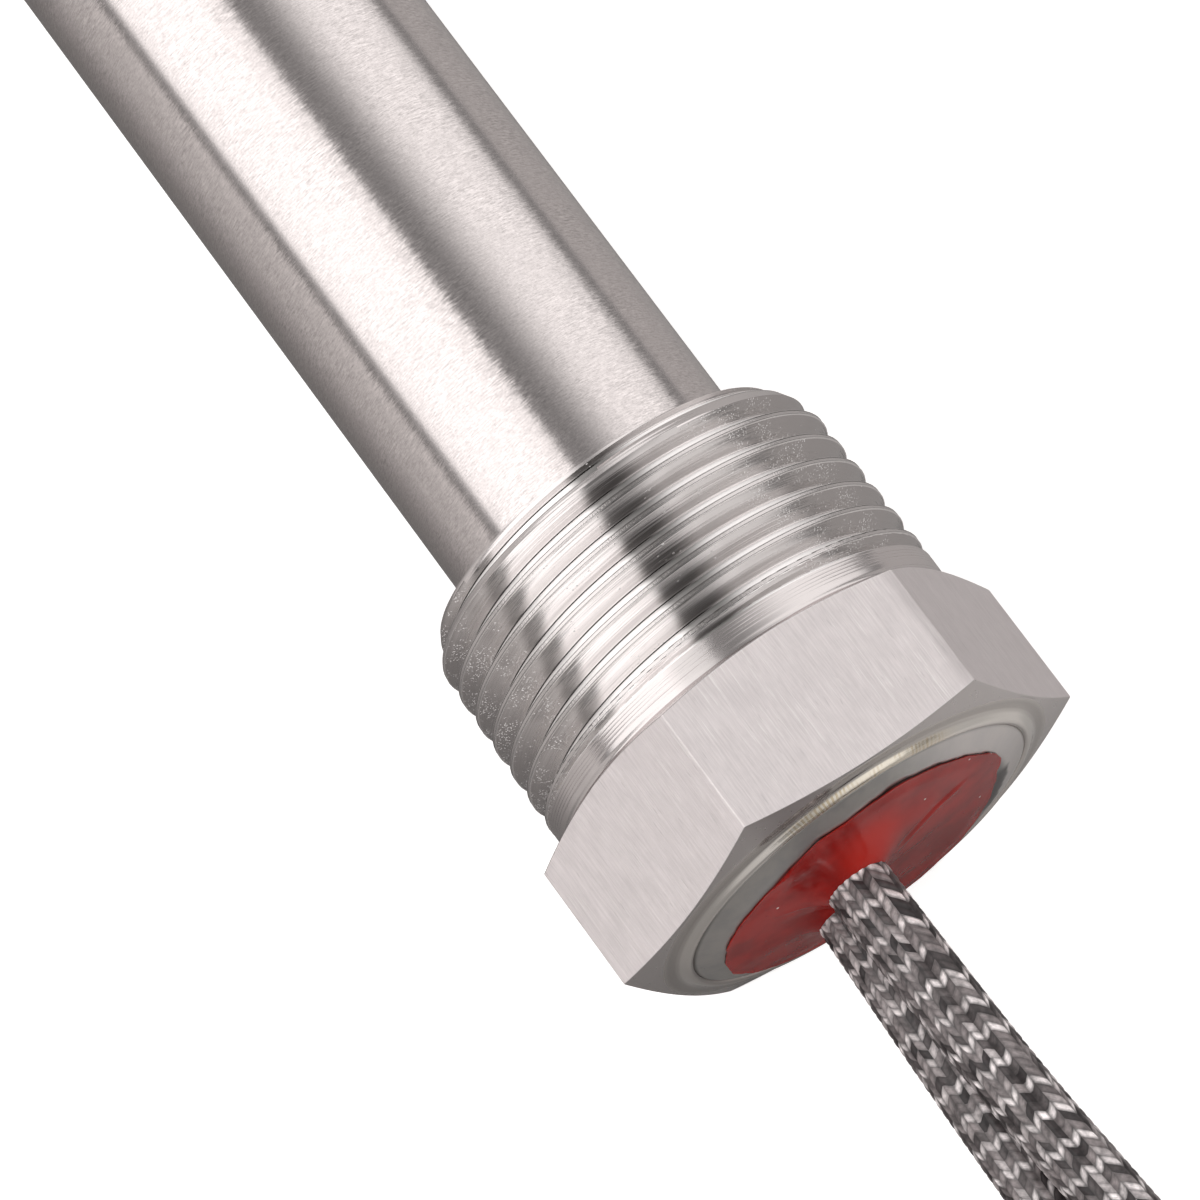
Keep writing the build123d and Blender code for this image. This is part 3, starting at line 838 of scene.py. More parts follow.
def steel(name, base, rough, grain=None, rings=None, axial=None, pits=0.0, rough_var=0.0, aniso=0.0, turn=0.0,
          mottled=0.0, tint=None, lines=None, bias=0.0, streak=None, scratch=None, dust=None):
    """A stainless surface. grain: fine speckle, rings and lines: turned lines, axial: lengthwise
    waves, streak: short strokes round the axis, scratch: sparse lengthwise scratches, dust: burr specks."""
    m, n = material(name)
    p = n.mm()
    x, y, z = n.split(p)
    col = n.mix(n.step(n.noise(p, 0.7, 3.0, 0.6), 0.3, 0.7), tuple(c * (1 - mottled) for c in base), base) if mottled else base
    normal = None
    round_about, rad = n.around(y, z)
    if lines:
        # turned lines finer than the eye sees: they fan the light along the profile only
        amount, scale = lines
        geo = n.new("ShaderNodeNewGeometry").outputs["Normal"]
        profile = n.vec("CROSS_PRODUCT", round_about, geo)
        # they run along the helix; the seam of the angle lies underneath
        u = n.math("ADD", x, n.math("MULTIPLY", n.math("ARCTAN2", y, z), PITCH / 6.2832))
        g = n.noise(n.join(n.math("MULTIPLY", u, scale), n.math("MULTIPLY", rad, 0.3 * scale), n.math("MULTIPLY", y, 0.12)), 1.0, 1.0, 0.5)
        normal = n.lean(geo, profile, n.math("ADD", g, bias), amount)
    if streak:
        amount, across, along = streak
        v = n.join(n.math("MULTIPLY", x, across), n.math("MULTIPLY", y, along), n.math("MULTIPLY", z, along))
        g = n.noise(v, 1.0, 2.0, 0.65)
        patch = n.step(n.noise(p, 0.30, 2.0, 0.5), 0.35, 0.65, 0.55, 1.25, "LINEAR")
        g = n.math("ADD", n.math("MULTIPLY", n.math("SUBTRACT", g, 0.5), patch), 0.5)
        normal = n.lean(normal, round_about, g, amount)
        grit = n.noise(n.join(n.math("MULTIPLY", x, across * 0.8), n.math("MULTIPLY", y, across * 0.5), n.math("MULTIPLY", z, across * 0.5)), 1.0, 2.0, 0.6)
        tone_g = n.math("ADD", n.math("MULTIPLY", n.math("SUBTRACT", n.math("ADD", n.math("MULTIPLY", g, 2.0), grit), 1.5), 0.50), 1.0)
        col = n.vec("SCALE", col if isinstance(col, bpy.types.NodeSocket) else n.join(*base), scale=tone_g)
    if grain:
        strength, scale, stretch = grain
        v = n.join(n.math("MULTIPLY", x, 1.0 / stretch), y, z)
        g = n.noise(v, scale, 3.0, 0.62)
        normal = n.bump(g, strength, 0.00002, normal)
    if rings:
        strength, scale, amount = rings
        v = n.join(n.math("MULTIPLY", x, scale), n.math("MULTIPLY", rad, scale), n.math("MULTIPLY", n.math("ARCTAN2", z, y), amount))
        g = n.noise(v, 1.0, 3.0, 0.6)
        normal = n.bump(g, strength, 0.00002, normal)
    if axial:
        strength, scale, stretch = axial
        v = n.join(n.math("MULTIPLY", x, 1.0 / stretch), n.math("MULTIPLY", y, 1.0), n.math("MULTIPLY", z, 1.0))
        g = n.noise(v, scale, 4.0, 0.7)
        normal = n.bump(g, strength, 0.00002, normal)
    if scratch:
        amount, across, along = scratch
        v = n.join(n.math("MULTIPLY", x, along), n.math("MULTIPLY", y, across), n.math("MULTIPLY", z, across))
        g = n.noise(v, 1.0, 3.0, 0.7, 0.15)
        fine = n.math("ADD", n.math("MULTIPLY", n.math("SUBTRACT", g, 0.5), 0.5), 0.5)
        v2 = n.join(n.math("MULTIPLY", x, along * 2.4), n.math("MULTIPLY", y, across * 0.55), n.math("MULTIPLY", z, across * 0.55))
        g2 = n.noise(v2, 1.0, 1.0, 0.5, 0.3)
        bright = n.math("MULTIPLY", n.step(g, 0.565, 0.65), n.step(n.noise(p, 0.22, 2.0, 0.5), 0.34, 0.58))
        dark = n.math("MULTIPLY", n.step(g2, 0.315, 0.255), n.step(n.noise(p, 0.31, 2.0, 0.5), 0.40, 0.56))
        normal = n.lean(normal, round_about, fine, amount)
        v3 = n.join(n.math("MULTIPLY", x, along * 1.4), n.math("MULTIPLY", y, across * 0.8), n.math("MULTIPLY", z, across * 0.8))
        brushed = n.math("ADD", n.math("MULTIPLY", n.math("SUBTRACT", n.noise(v3, 1.0, 4.0, 0.75), 0.5), 0.46), 1.0)
        base_s = n.vec("SCALE", col if isinstance(col, bpy.types.NodeSocket) else n.join(*base), scale=brushed)
        col = n.mix(n.math("MULTIPLY", bright, 0.55), base_s, (0.95, 0.92, 0.90))
        col = n.mix(n.math("MULTIPLY", dark, 0.24), col, tuple(c * 0.45 for c in base))
        normal = n.bump(n.math("SUBTRACT", bright, dark), 0.20, 0.00002, normal)
    if pits:
        v = n.voronoi(p, 2.2, random=1.0)
        g = n.step(v, 0.05, 0.10)
        normal = n.bump(g, pits, 0.00002, normal)
    if dust:
        amount, scale = dust
        v = n.voronoi(n.vec("ADD", p, n.vec("SCALE", n.join(n.noise(p, 3.0), n.noise(p, 3.3), 0.0), scale=0.2)), scale, random=1.0)
        where = n.math("MULTIPLY", n.step(v, 0.26, 0.14), n.step(n.noise(p, 0.42, 3.0, 0.65), 0.56, 0.66))
        normal = n.bump(where, 0.6, 0.00003, normal)
        # finer swarf clings low on both sides
        spot = n.step(n.voronoi(p, 6.4), 0.36, 0.20)
        sides = n.math("ADD", n.math("MULTIPLY", n.step(y, 3.0, 5.0), n.step(y, 11.4, 9.6)), n.step(y, -9.8, -11.4))
        patch = n.step(n.noise(p, 0.55, 3.0, 0.65), 0.43, 0.56)
        fine = n.math("MULTIPLY", n.math("MULTIPLY", spot, sides), patch)
        cover = n.math("MAXIMUM", n.math("MULTIPLY", where, amount), n.math("MULTIPLY", fine, 0.86))
    r = rough
    if rough_var:
        r = n.math("ADD", n.math("MULTIPLY", n.math("SUBTRACT", n.noise(p, 1.7, 3.0, 0.6), 0.5), 2 * rough_var), rough)
    if tint:
        col = tint(n, p, x, y, z, col)
    metal = 1.0
    if dust:
        col = n.mix(cover, col, (0.90, 0.88, 0.87))
        metal = n.math("SUBTRACT", 1.0, cover)
    pr = n.finish(col, r, metal, normal)
    if aniso:
        t = n.new("ShaderNodeTangent", direction_type="RADIAL", axis="X")
        n.link(t.outputs[0], pr.inputs["Tangent"])
        pr.inputs["Anisotropic"].default_value = aniso
        pr.inputs["Anisotropic Rotation"].default_value = turn
    return m


def golden(n, p, x, y, z, col):
    """Weld heat tint on the outer shoulder, mixed with painted light: a paler band that brightens the ridge's
    highlight, gold with painted ripple bars kept to the top where the highlight falls, a darker ring outside, and
    painted shade in the groove inside.
    """
    rad = n.math("SQRT", n.math("ADD", n.math("MULTIPLY", y, y), n.math("MULTIPLY", z, z)))
    # painted highlight: the steel is paled across the ridge so its highlight is brighter
    band = n.math("MULTIPLY", n.step(rad, 11.56, 11.70), n.step(rad, 12.36, 12.18))
    col = n.mix(n.math("MULTIPLY", band, 0.8), col, (0.83, 0.80, 0.755))
    up = n.step(n.math("DIVIDE", z, rad), 0.84, 0.95)
    ang = n.math("ARCTAN2", z, y)
    # painted ripple bars of gold and pale in the highlight at the top
    bars = n.step(n.math("SINE", n.math("ADD", n.math("MULTIPLY", ang, 268.0), n.math("MULTIPLY", n.noise(p, 0.8), 7.0))), -0.4, 0.5)
    where = n.step(n.noise(p, 0.55, 2.0, 0.5), 0.36, 0.60)
    f = n.math("MULTIPLY", n.math("MULTIPLY", band, up), n.math("MULTIPLY", bars, where))
    dull = n.math("MULTIPLY", n.step(rad, 12.38, 12.52), n.step(rad, 13.15, 12.85))
    col = n.mix(n.math("MULTIPLY", dull, 0.35), col, (0.30, 0.28, 0.26))
    warm = n.math("MULTIPLY", n.math("MULTIPLY", band, up), 0.35)
    col = n.mix(warm, col, (0.86, 0.74, 0.52))
    col = n.mix(n.math("MULTIPLY", f, 0.58), col, (0.52, 0.39, 0.21))
    # painted shade in the groove inside the ridge
    soot = n.step(rad, 11.48, 11.36)
    return n.mix(n.math("MULTIPLY", soot, 0.6), col, (0.22, 0.21, 0.19))


fitting = make_fitting()
WARM = (0.700, 0.655, 0.648)


def side_flats(n, p, x, y, z, col):
    """Painted shade darkens the flats on the +Y side."""
    return n.mix(n.math("MULTIPLY", n.step(y, 6.9, 7.5), 0.36), col, (0.42, 0.385, 0.385))


def oil_film(n, y, col, amount):
    """A painted dark reflection band that runs along the top of the thread."""
    film = n.math("MULTIPLY", n.step(y, 0.9, -1.5), n.step(y, -4.0, -3.0))
    return n.mix(n.math("MULTIPLY", film, amount), col, (0.13, 0.125, 0.118))


def oily(n, p, x, y, z, col):
    return oil_film(n, y, col, 0.77)


def oily_crest(n, p, x, y, z, col):
    return oil_film(n, y, col, 0.52)


def shaded_flank(n, p, x, y, z, col):
    """Painted shade on the flanks: darker on the +Y side and far round the -Y side, with the painted dark band along
    the top and a narrower, darker painted strip near y = -9.5.
    """
    col = n.mix(n.math("MULTIPLY", n.step(y, -0.9, 1.5), 0.80), col, (0.455, 0.43, 0.422))
    col = n.mix(n.math("MULTIPLY", n.step(y, -8.2, -11.4), 0.55), col, (0.42, 0.395, 0.385))
    col = oil_film(n, y, col, 0.47)
    strip = n.math("MULTIPLY", n.step(y, -8.5, -9.2), n.step(y, -10.5, -9.8))
    return n.mix(n.math("MULTIPLY", strip, 0.50), col, (0.13, 0.125, 0.118))


def collar_sides(n, p, x, y, z, col):
    """Painted shade far round the collar on the -Y side, and a painted dark band along its top."""
    col = n.mix(n.math("MULTIPLY", n.step(y, -12.2, -13.2), 0.40), col, (0.33, 0.31, 0.305))
    film = n.math("MULTIPLY", n.step(y, -2.7, -3.7), n.step(y, -6.2, -4.9))
    return n.mix(n.math("MULTIPLY", film, 0.48), col, (0.40, 0.38, 0.375))


def dark_root(n, p, x, y, z, col):
    """Painted shade darkens the root of the thread on the -Y side."""
    return n.mix(n.step(y, -0.8, -2.2), col, (0.07, 0.065, 0.062))


mats = [
    steel("thread_bright", (0.745, 0.703, 0.696), 0.17, lines=(0.85, 46.0), bias=0.42, aniso=0.7, turn=0.25, dust=(0.75, 3.6), rough_var=0.02, tint=shaded_flank),
    steel("collar_bright", WARM, 0.19, lines=(0.45, 30.0), rings=(0.22, 30.0, 2.0), rough_var=0.04, aniso=0.6, turn=0.25, tint=collar_sides),
    steel("chamfer_back", (0.62, 0.58, 0.575), 0.24, rings=(0.25, 18.0, 2.0)),
    steel("end_face", (0.60, 0.56, 0.555), 0.22, rings=(0.35, 14.0, 1.5)),
    steel("flats", (0.80, 0.745, 0.745), 0.48, scratch=(1.15, 11.0, 0.30), grain=(0.16, 9.0, 2.5), pits=0.15, rough_var=0.05, aniso=0.75, mottled=0.05, tint=side_flats),
    steel("chamfer_lead", (0.60, 0.57, 0.56), 0.29, rings=(0.05, 2.6, 1.0), rough_var=0.05),
    steel("face_tinted", (0.62, 0.59, 0.56), 0.14, rings=(0.22, 6.0, 1.5), rough_var=0.04, tint=golden),
    steel("crest_turned", (0.66, 0.625, 0.618), 0.20, lines=(0.8, 20.0), grain=(0.95, 8.0, 1.5), rough_var=0.06, tint=oily_crest),
    # thread_back: a painted highlight, its steel lightened near white so the flank's band reads white
    steel("thread_back", (0.95, 0.92, 0.912), 0.36, lines=(0.7, 30.0), bias=-1.45, rough_var=0.02, tint=oily),
    steel("thread_root", (0.90, 0.865, 0.858), 0.25, lines=(0.9, 30.0), tint=dark_root),
    steel("crest_burr", (0.92, 0.89, 0.88), 0.22, grain=(0.25, 7.0, 2.5), rough_var=0.03, tint=oily_crest),
    # painted burr shadow: a dark copy of the steel just inside the crest edges
    steel("painted_burr_shadow", (0.13, 0.125, 0.12), 0.30, grain=(0.9, 5.0, 1.0)),
    steel("end_cone", (0.78, 0.735, 0.728), 0.20, lines=(0.5, 24.0), rough_var=0.03),
]
for m in mats:
    fitting.data.materials.append(m)
print("fitting faces", len(fitting.data.polygons))


# ---- weld bead ------------------------------------------------------------
def make_bead():
    cols = 360
    a = np.linspace(0, 2 * math.pi, cols, endpoint=False)
    prof = [
        (0.60, 11.10), (0.80, 11.36), (0.98, 11.40), (1.05, 11.37), (1.10, 11.30), (1.15, 11.18), (1.21, 11.04), (1.28, 10.87),
        (1.36, 10.67), (1.44, 10.46), (1.52, 10.24), (1.59, 10.02), (1.65, 9.80), (1.70, 9.55), (1.73, 9.25), (1.75, 8.9),
        (1.76, 8.6), (1.75, 8.40), (1.70, 8.3), (1.40, 8.3), (1.40, 9.325), (0.60, 9.325),
    ]
    rows = []
    rng = np.random.default_rng(21)
    ph = rng.uniform(0, 6.28, 12)
    for x, r in prof:
        w = math.exp(-(((r - 10.5) / 0.7) ** 2)) * (x > 0.62)
        lump = sum(np.sin((i + 2) * a + ph[i] + 0.8 * r) / (i + 2) for i in range(9))
        fine = np.sin(a * 118 + 5.0 * (r - 10.5) ** 2 + 2.0 * np.sin(a * 3))
        rows.append(polar(x + w * (0.022 * lump + 0.0035 * fine), r + 0.012 * w * lump, a))
    P = np.array(rows)
    ob = build("fitting_weld_bead", P.reshape(-1, 3), ring_grid(len(rows), cols, closed_rows=True))
    bm = bmesh.new()
    bm.from_mesh(ob.data)
    bmesh.ops.recalc_face_normals(bm, faces=bm.faces)
    bm.to_mesh(ob.data)
    bm.free()
    ob.data.set_sharp_from_angle(angle=math.radians(60))
    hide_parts("fitting_weld")

    def grey_green(n, p, x, y, z, col):
        rad = n.math("SQRT", n.math("ADD", n.math("MULTIPLY", y, y), n.math("MULTIPLY", z, z)))
        col = n.mix(n.step(n.noise(p, 0.55, 3.0, 0.6), 0.35, 0.65), col, (0.56, 0.545, 0.52))
        # painted shade: a dark line at the bead's outer edge, in the groove
        col = n.mix(n.math("MULTIPLY", n.step(rad, 11.22, 11.38), 0.65), col, (0.17, 0.165, 0.155))
        # painted light: the bead is lighter on the +Y side
        col = n.mix(n.math("MULTIPLY", n.step(y, 1.0, 7.0), 0.5), col, (0.78, 0.74, 0.73))
        col = n.mix(n.step(rad, 9.9, 9.2), col, (0.22, 0.22, 0.215))
        bare = n.math("MULTIPLY", n.step(y, 8.0, 8.4), n.math("MULTIPLY", n.step(z, -4.4, -3.6), n.step(z, 1.6, 0.6)))
        bare = n.math("MULTIPLY", bare, n.step(n.math("ADD", rad, n.noise(p, 1.2)), 10.45, 10.15))
        return n.mix(n.math("MULTIPLY", bare, 0.9), col, (0.050, 0.046, 0.048))

    ob.data.materials.append(steel("bead", (0.49, 0.485, 0.475), 0.30, grain=(0.16, 2.6, 1.0), rough_var=0.05, tint=grey_green))
    return ob


make_bead()


# ---- red silicone seal ----------------------------------------------------
EDGE = [(8, 8.95), (16, 9.45), (24, 9.78), (40, 9.70), (52, 9.72), (66, 9.86), (82, 10.02), (99, 9.50), (107, 9.62), (114, 9.88), (125, 9.35), (134, 9.12), (150, 9.35),
        (168, 9.62), (186, 9.74), (205, 9.95), (222, 9.80), (245, 9.55), (270, 9.42), (295, 9.60), (318, 9.45), (336, 9.10), (350, 8.90)]


def edge_radius(a):
    d = np.degrees(a) % 360
    k = np.array(EDGE, float)
    xs = np.concatenate([k[:, 0] - 360, k[:, 0], k[:, 0] + 360])
    ys = np.tile(k[:, 1], 3)
    soft = (np.interp(d - 3, xs, ys) + 2 * np.interp(d, xs, ys) + np.interp(d + 3, xs, ys)) / 4
    return soft + 0.035 * np.sin(a * 23 + 1.0) + 0.02 * np.sin(a * 51 + 2.2)


def wire_spots(x):
    """Where the two leads pass the plane x of the straight frame: (y, z)."""
    out = []
    for pts in (path_a, path_b):
        p = np.asarray(pts) * 1000
        hx = (p[:, 0] - X0) * CT + p[:, 2] * ST - XR
        hz = -(p[:, 0] - X0) * ST + p[:, 2] * CT - Z0
        k = np.argsort(hx[:60])
        out.append((float(np.interp(x, hx[:60][k], p[:60, 1][k])), float(np.interp(x, hx[:60][k], hz[:60][k]))))
    return out


def seal_height(y, z):
    r = np.hypot(y, z)
    a = np.arctan2(z, y)
    rho = np.clip(r / edge_radius(a), 0, 1.05)
    d = np.min([np.hypot(y - p[0], z - p[1]) - 1.96 for p in wire_spots(2.9)], axis=0)
    d = np.clip(d, 0, None)
    x = 1.785 + 0.09 * (1 - smooth(rho, 0.86, 1.0)) + 0.30 * (1 - smooth(rho, 0.2, 0.95))
    x = x + 0.62 * np.exp(-d / 0.85) + 0.22 * np.exp(-((d / 3.0) ** 2))
    # slack skin: a few creases that run out from the leads
    def fold(y0, z0, y1, z1, width, amp):
        dy, dz = y1 - y0, z1 - z0
        L = math.hypot(dy, dz)
        t = ((y - y0) * dy + (z - z0) * dz) / L
        s = ((y - y0) * -dz + (z - z0) * dy) / L
        env = smooth(t, -0.8, 0.7) * (1 - smooth(t, L - 1.2, L + 0.8))
        s = s + 0.10 * np.sin(t * 1.7)
        return amp * env * (np.exp(-((s / width) ** 2)) - 0.7 * np.exp(-(((s - 1.5 * width) / (1.3 * width)) ** 2)))

    x = x + fold(1.9, 1.6, 6.4, 3.9, 0.30, 0.075)
    x = x + fold(2.2, 0.3, 7.2, 0.6, 0.95, 0.05)
    x = x + fold(-4.1, 1.2, -6.3, 1.9, 0.20, 0.05)
    x = x + fold(-3.6, 3.2, -6.4, 5.6, 1.50, -0.04)
    x = x + fold(-3.8, -1.8, -8.2, -3.2, 1.20, 0.07)
    x = x + fold(-2.6, -5.0, -4.0, -8.0, 0.90, 0.05)
    x = x + fold(1.0, -4.9, 3.2, -8.0, 0.90, 0.05)
    # a thicker lobe smeared at the upper left edge
    x = x + 0.13 * np.exp(-(((y + 5.3) / 1.5) ** 2) - (((z - 6.7) / 1.0) ** 2))
    x = x + 0.018 * np.sin(1.3 * y + 0.7 * z + 0.4) * np.sin(0.9 * z - 0.6 * y + 1.1)
    return x


def make_seal():
    holes = wire_spots(2.9)
    step = 0.17
    outer_n, hole_n = 300, 64
    a = np.linspace(0, 2 * math.pi, outer_n, endpoint=False)
    re = edge_radius(a)
    loops = [np.stack([re * np.cos(a), re * np.sin(a)], 1)]
    b = np.linspace(0, 2 * math.pi, hole_n, endpoint=False)
    hr = 1.955
    for cy, cz in holes:
        loops.append(np.stack([cy + hr * np.cos(b), cz + hr * np.sin(b)], 1))
    # the two leads nearly touch: each hole keeps its own half of the gap
    gy = np.arange(-10.2, 10.3, step)
    row_h = step * 0.866
    pts = []
    for i, zz in enumerate(np.arange(-10.2, 10.3, row_h)):
        yy = gy + (step / 2 if i % 2 else 0)
        pts.append(np.stack([yy, np.full_like(yy, zz)], 1))
    pts = np.vstack(pts)
    rr = np.hypot(pts[:, 0], pts[:, 1])
    ok = rr < edge_radius(np.arctan2(pts[:, 1], pts[:, 0])) - 0.12
    for cy, cz in holes:
        ok &= np.hypot(pts[:, 0] - cy, pts[:, 1] - cz) > hr + 0.10
    pts = pts[ok]
    verts = np.vstack(loops + [pts])
    edges, k = [], 0
    for lp in loops:
        m = len(lp)
        edges += [(k + i, k + (i + 1) % m) for i in range(m)]
        k += m
    res = delaunay_2d_cdt([tuple(v) for v in verts.tolist()], edges, [], 0, 1e-7)
    v2 = np.array([tuple(v) for v in res[0]])
    tris = np.array([list(f) for f in res[2] if len(f) == 3])
    c = v2[tris].mean(1)
    keep = np.hypot(c[:, 0], c[:, 1]) < edge_radius(np.arctan2(c[:, 1], c[:, 0])) + 0.01
    for cy, cz in holes:
        keep &= np.hypot(c[:, 0] - cy, c[:, 1] - cz) > hr * 0.999
    tris = tris[keep]
    x = seal_height(v2[:, 0], v2[:, 1])
    front = np.column_stack([x, v2])
    # boundary loops of the kept sheet are found from its edges, then run inwards
    e = np.sort(np.vstack([tris[:, [0, 1]], tris[:, [1, 2]], tris[:, [2, 0]]]), axis=1)
    u, cnt = np.unique(e, axis=0, return_counts=True)
    bnd = u[cnt == 1]
    nxt = {}
    for i, j in bnd.tolist():
        nxt.setdefault(i, []).append(j)
        nxt.setdefault(j, []).append(i)
    seen, rings = set(), []
    for s0 in list(nxt):
        if s0 in seen:
            continue
        loop, prev, cur = [s0], None, s0
        seen.add(s0)
        while True:
            opts = [q for q in nxt[cur] if q != prev and q not in seen]
            if not opts:
                break
            prev, cur = cur, opts[0]
            seen.add(cur)
            loop.append(cur)
        rings.append(loop)
    P = [tuple(p) for p in front.tolist()]
    faces = [tuple(t) for t in tris.tolist()]
    for loop in rings:
        c0 = front[loop]
        rad = np.hypot(c0[:, 1], c0[:, 2]).mean()
        cyl = rad > 7
        m = len(loop)
        prev = loop
        if cyl:
            steps = [(1.60, None), (1.58, 8.75), (1.50, 8.30), (1.30, 8.265), (-3.0, 8.265), (-6.0, 8.265)]
        else:
            steps = [(2.45, "h"), (1.2, "h"), (-3.0, "h"), (-6.0, "h")]
        for xx, r in steps:
            base = len(P)
            for q in loop:
                yy, zz = front[q][1], front[q][2]
                if r == "h":
                    P.append((xx, yy, zz))
                else:
                    aa = math.atan2(zz, yy)
                    rr2 = math.hypot(yy, zz) if r is None else r
                    P.append((xx, rr2 * math.cos(aa), rr2 * math.sin(aa)))
            cur = list(range(base, base + m))
            faces += [(prev[i], prev[(i + 1) % m], cur[(i + 1) % m], cur[i]) for i in range(m)]
            prev = cur
        if cyl:
            outer_back = prev
        else:
            rings_back = rings_back + [prev] if "rings_back" in dir() else [prev]
    # the hidden back of the seal closes against the cement
    back = [outer_back] + rings_back
    flat = [(P[i][1], P[i][2]) for lp in back for i in lp]
    idx = [i for lp in back for i in lp]
    be, k = [], 0
    for lp in back:
        m = len(lp)
        be += [(k + i, k + (i + 1) % m) for i in range(m)]
        k += m
    res2 = delaunay_2d_cdt(flat, be, [], 0, 1e-9)
    w2 = np.array([tuple(v) for v in res2[0]])
    if len(w2) == len(flat):
        for f in res2[2]:
            c = w2[list(f)].mean(0)
            if math.hypot(*c) < 8.265 and all(math.hypot(c[0] - h[0], c[1] - h[1]) > hr * 0.999 for h in holes):
                faces.append(tuple(idx[i] for i in f))
    else:
        print("seal back: points merged", len(w2), len(flat))
    ob = build("silicone_seal_poured", to_world(np.array(P)), faces)
    bm = bmesh.new()
    bm.from_mesh(ob.data)
    bmesh.ops.recalc_face_normals(bm, faces=bm.faces)
    print("seal open edges", sum(1 for e in bm.edges if len(e.link_faces) != 2))
    bm.to_mesh(ob.data)
    bm.free()
    ob.data.set_sharp_from_angle(angle=math.radians(70))
    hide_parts("silicone_seal")
    m, n = material("red_silicone")
    p = n.mm()
    big = n.noise(p, 0.35, 3.0, 0.55)
    col = n.mix(n.step(big, 0.35, 0.65), (0.205, 0.0068, 0.0050), (0.300, 0.0105, 0.0072))
    sx, sy, sz = n.split(p)
    # painted light: a brighter red lobe in the upper middle, where the seal rises towards the overhead light
    off = n.math("SQRT", n.math("ADD", n.math("POWER", n.math("ABSOLUTE", n.math("ADD", sy, 0.3)), 2.0), n.math("POWER", n.math("ABSOLUTE", n.math("SUBTRACT", sz, 5.0)), 2.0)))
    col = n.mix(n.math("MULTIPLY", n.step(off, 3.4, 0.8), 0.85), col, (0.46, 0.026, 0.018))
    dust = n.step(n.voronoi(p, 0.40), 0.040, 0.028)
    col = n.mix(n.math("MULTIPLY", dust, 0.9), col, (0.80, 0.74, 0.70))
    # painted shade on the seal's edge and side wall, below x = 1.70
    col = n.mix(n.step(sx, 1.765, 1.70), col, (0.022, 0.006, 0.005))
    film = n.noise(p, 1.1, 4.0, 0.6)
    nb = n.bump(n.noise(p, 0.5, 1.0, 0.45), 0.12, 0.0001)
    nb = n.bump(n.step(n.voronoi(p, 0.9), 0.10, 0.04), 0.30, 0.00004, nb)
    pr = n.finish(col, n.step(film, 0.35, 0.7, 0.10, 0.26, "LINEAR"), 0.0, nb)
    pr.inputs["Subsurface Weight"].default_value = 0.35
    pr.inputs["Subsurface Radius"].default_value = (1.0, 0.18, 0.12)
    pr.inputs["Subsurface Scale"].default_value = 0.0012
    pr.inputs["IOR"].default_value = 1.41
    pr.inputs["Specular IOR Level"].default_value = 0.25
    pr.inputs["Coat Weight"].default_value = 0.0
    pr.inputs["Coat Roughness"].default_value = 0.10
    ob.data.materials.append(m)
    return ob


make_seal()


# ---- sheath and the rest of the carried-over nodes -------------------------
def dress(node, mat):
    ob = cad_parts[node]
    ob.data.materials.clear()
    ob.data.materials.append(mat)


sheath_mat = steel("sheath_satin", (0.700, 0.650, 0.642), 0.155, streak=(0.058, 12.0, 1.7), grain=(0.09, 8.0, 1.0), pits=0.10, rough_var=0.03, mottled=0.03)
dress("sheath_tube", sheath_mat)
dress("tip_weld", steel("tip_closure", (0.60, 0.57, 0.55), 0.24, rings=(0.35, 3.0, 4.0), grain=(0.15, 4.0, 1.0), rough_var=0.06, mottled=0.12))


# ---- far ends of the leads: terminals, sleeves, strands -------------------
def placer(route):
    """Millimetres along the lead's last run, from its cut end, to the world."""
    (px, py, _), (ex, ey, ez) = route[-2], route[-1]
    h = math.atan2(ey - py, ex - px)

    def place(p):
        p = np.asarray(p, float)
        x, y, z = p[..., 0], p[..., 1], p[..., 2]
        return np.stack([ex * 1000 + x * math.cos(h) - y * math.sin(h), ey * 1000 + x * math.sin(h) + y * math.cos(h), z], -1) / 1000

    return place


def outward(ob, angle=40):
    bm = bmesh.new()
    bm.from_mesh(ob.data)
    bmesh.ops.remove_doubles(bm, verts=bm.verts, dist=1e-7)
    bmesh.ops.recalc_face_normals(bm, faces=bm.faces)
    bm.to_mesh(ob.data)
    bm.free()
    ob.data.set_sharp_from_angle(angle=math.radians(angle))
    return ob


def offset_loop(p, d):
    """A closed plane outline moved inwards by d; it runs anticlockwise."""
    t = np.roll(p, -1, 0) - np.roll(p, 1, 0)
    t /= np.linalg.norm(t, axis=1)[:, None]
    return p + d * np.stack([-t[:, 1], t[:, 0]], 1)


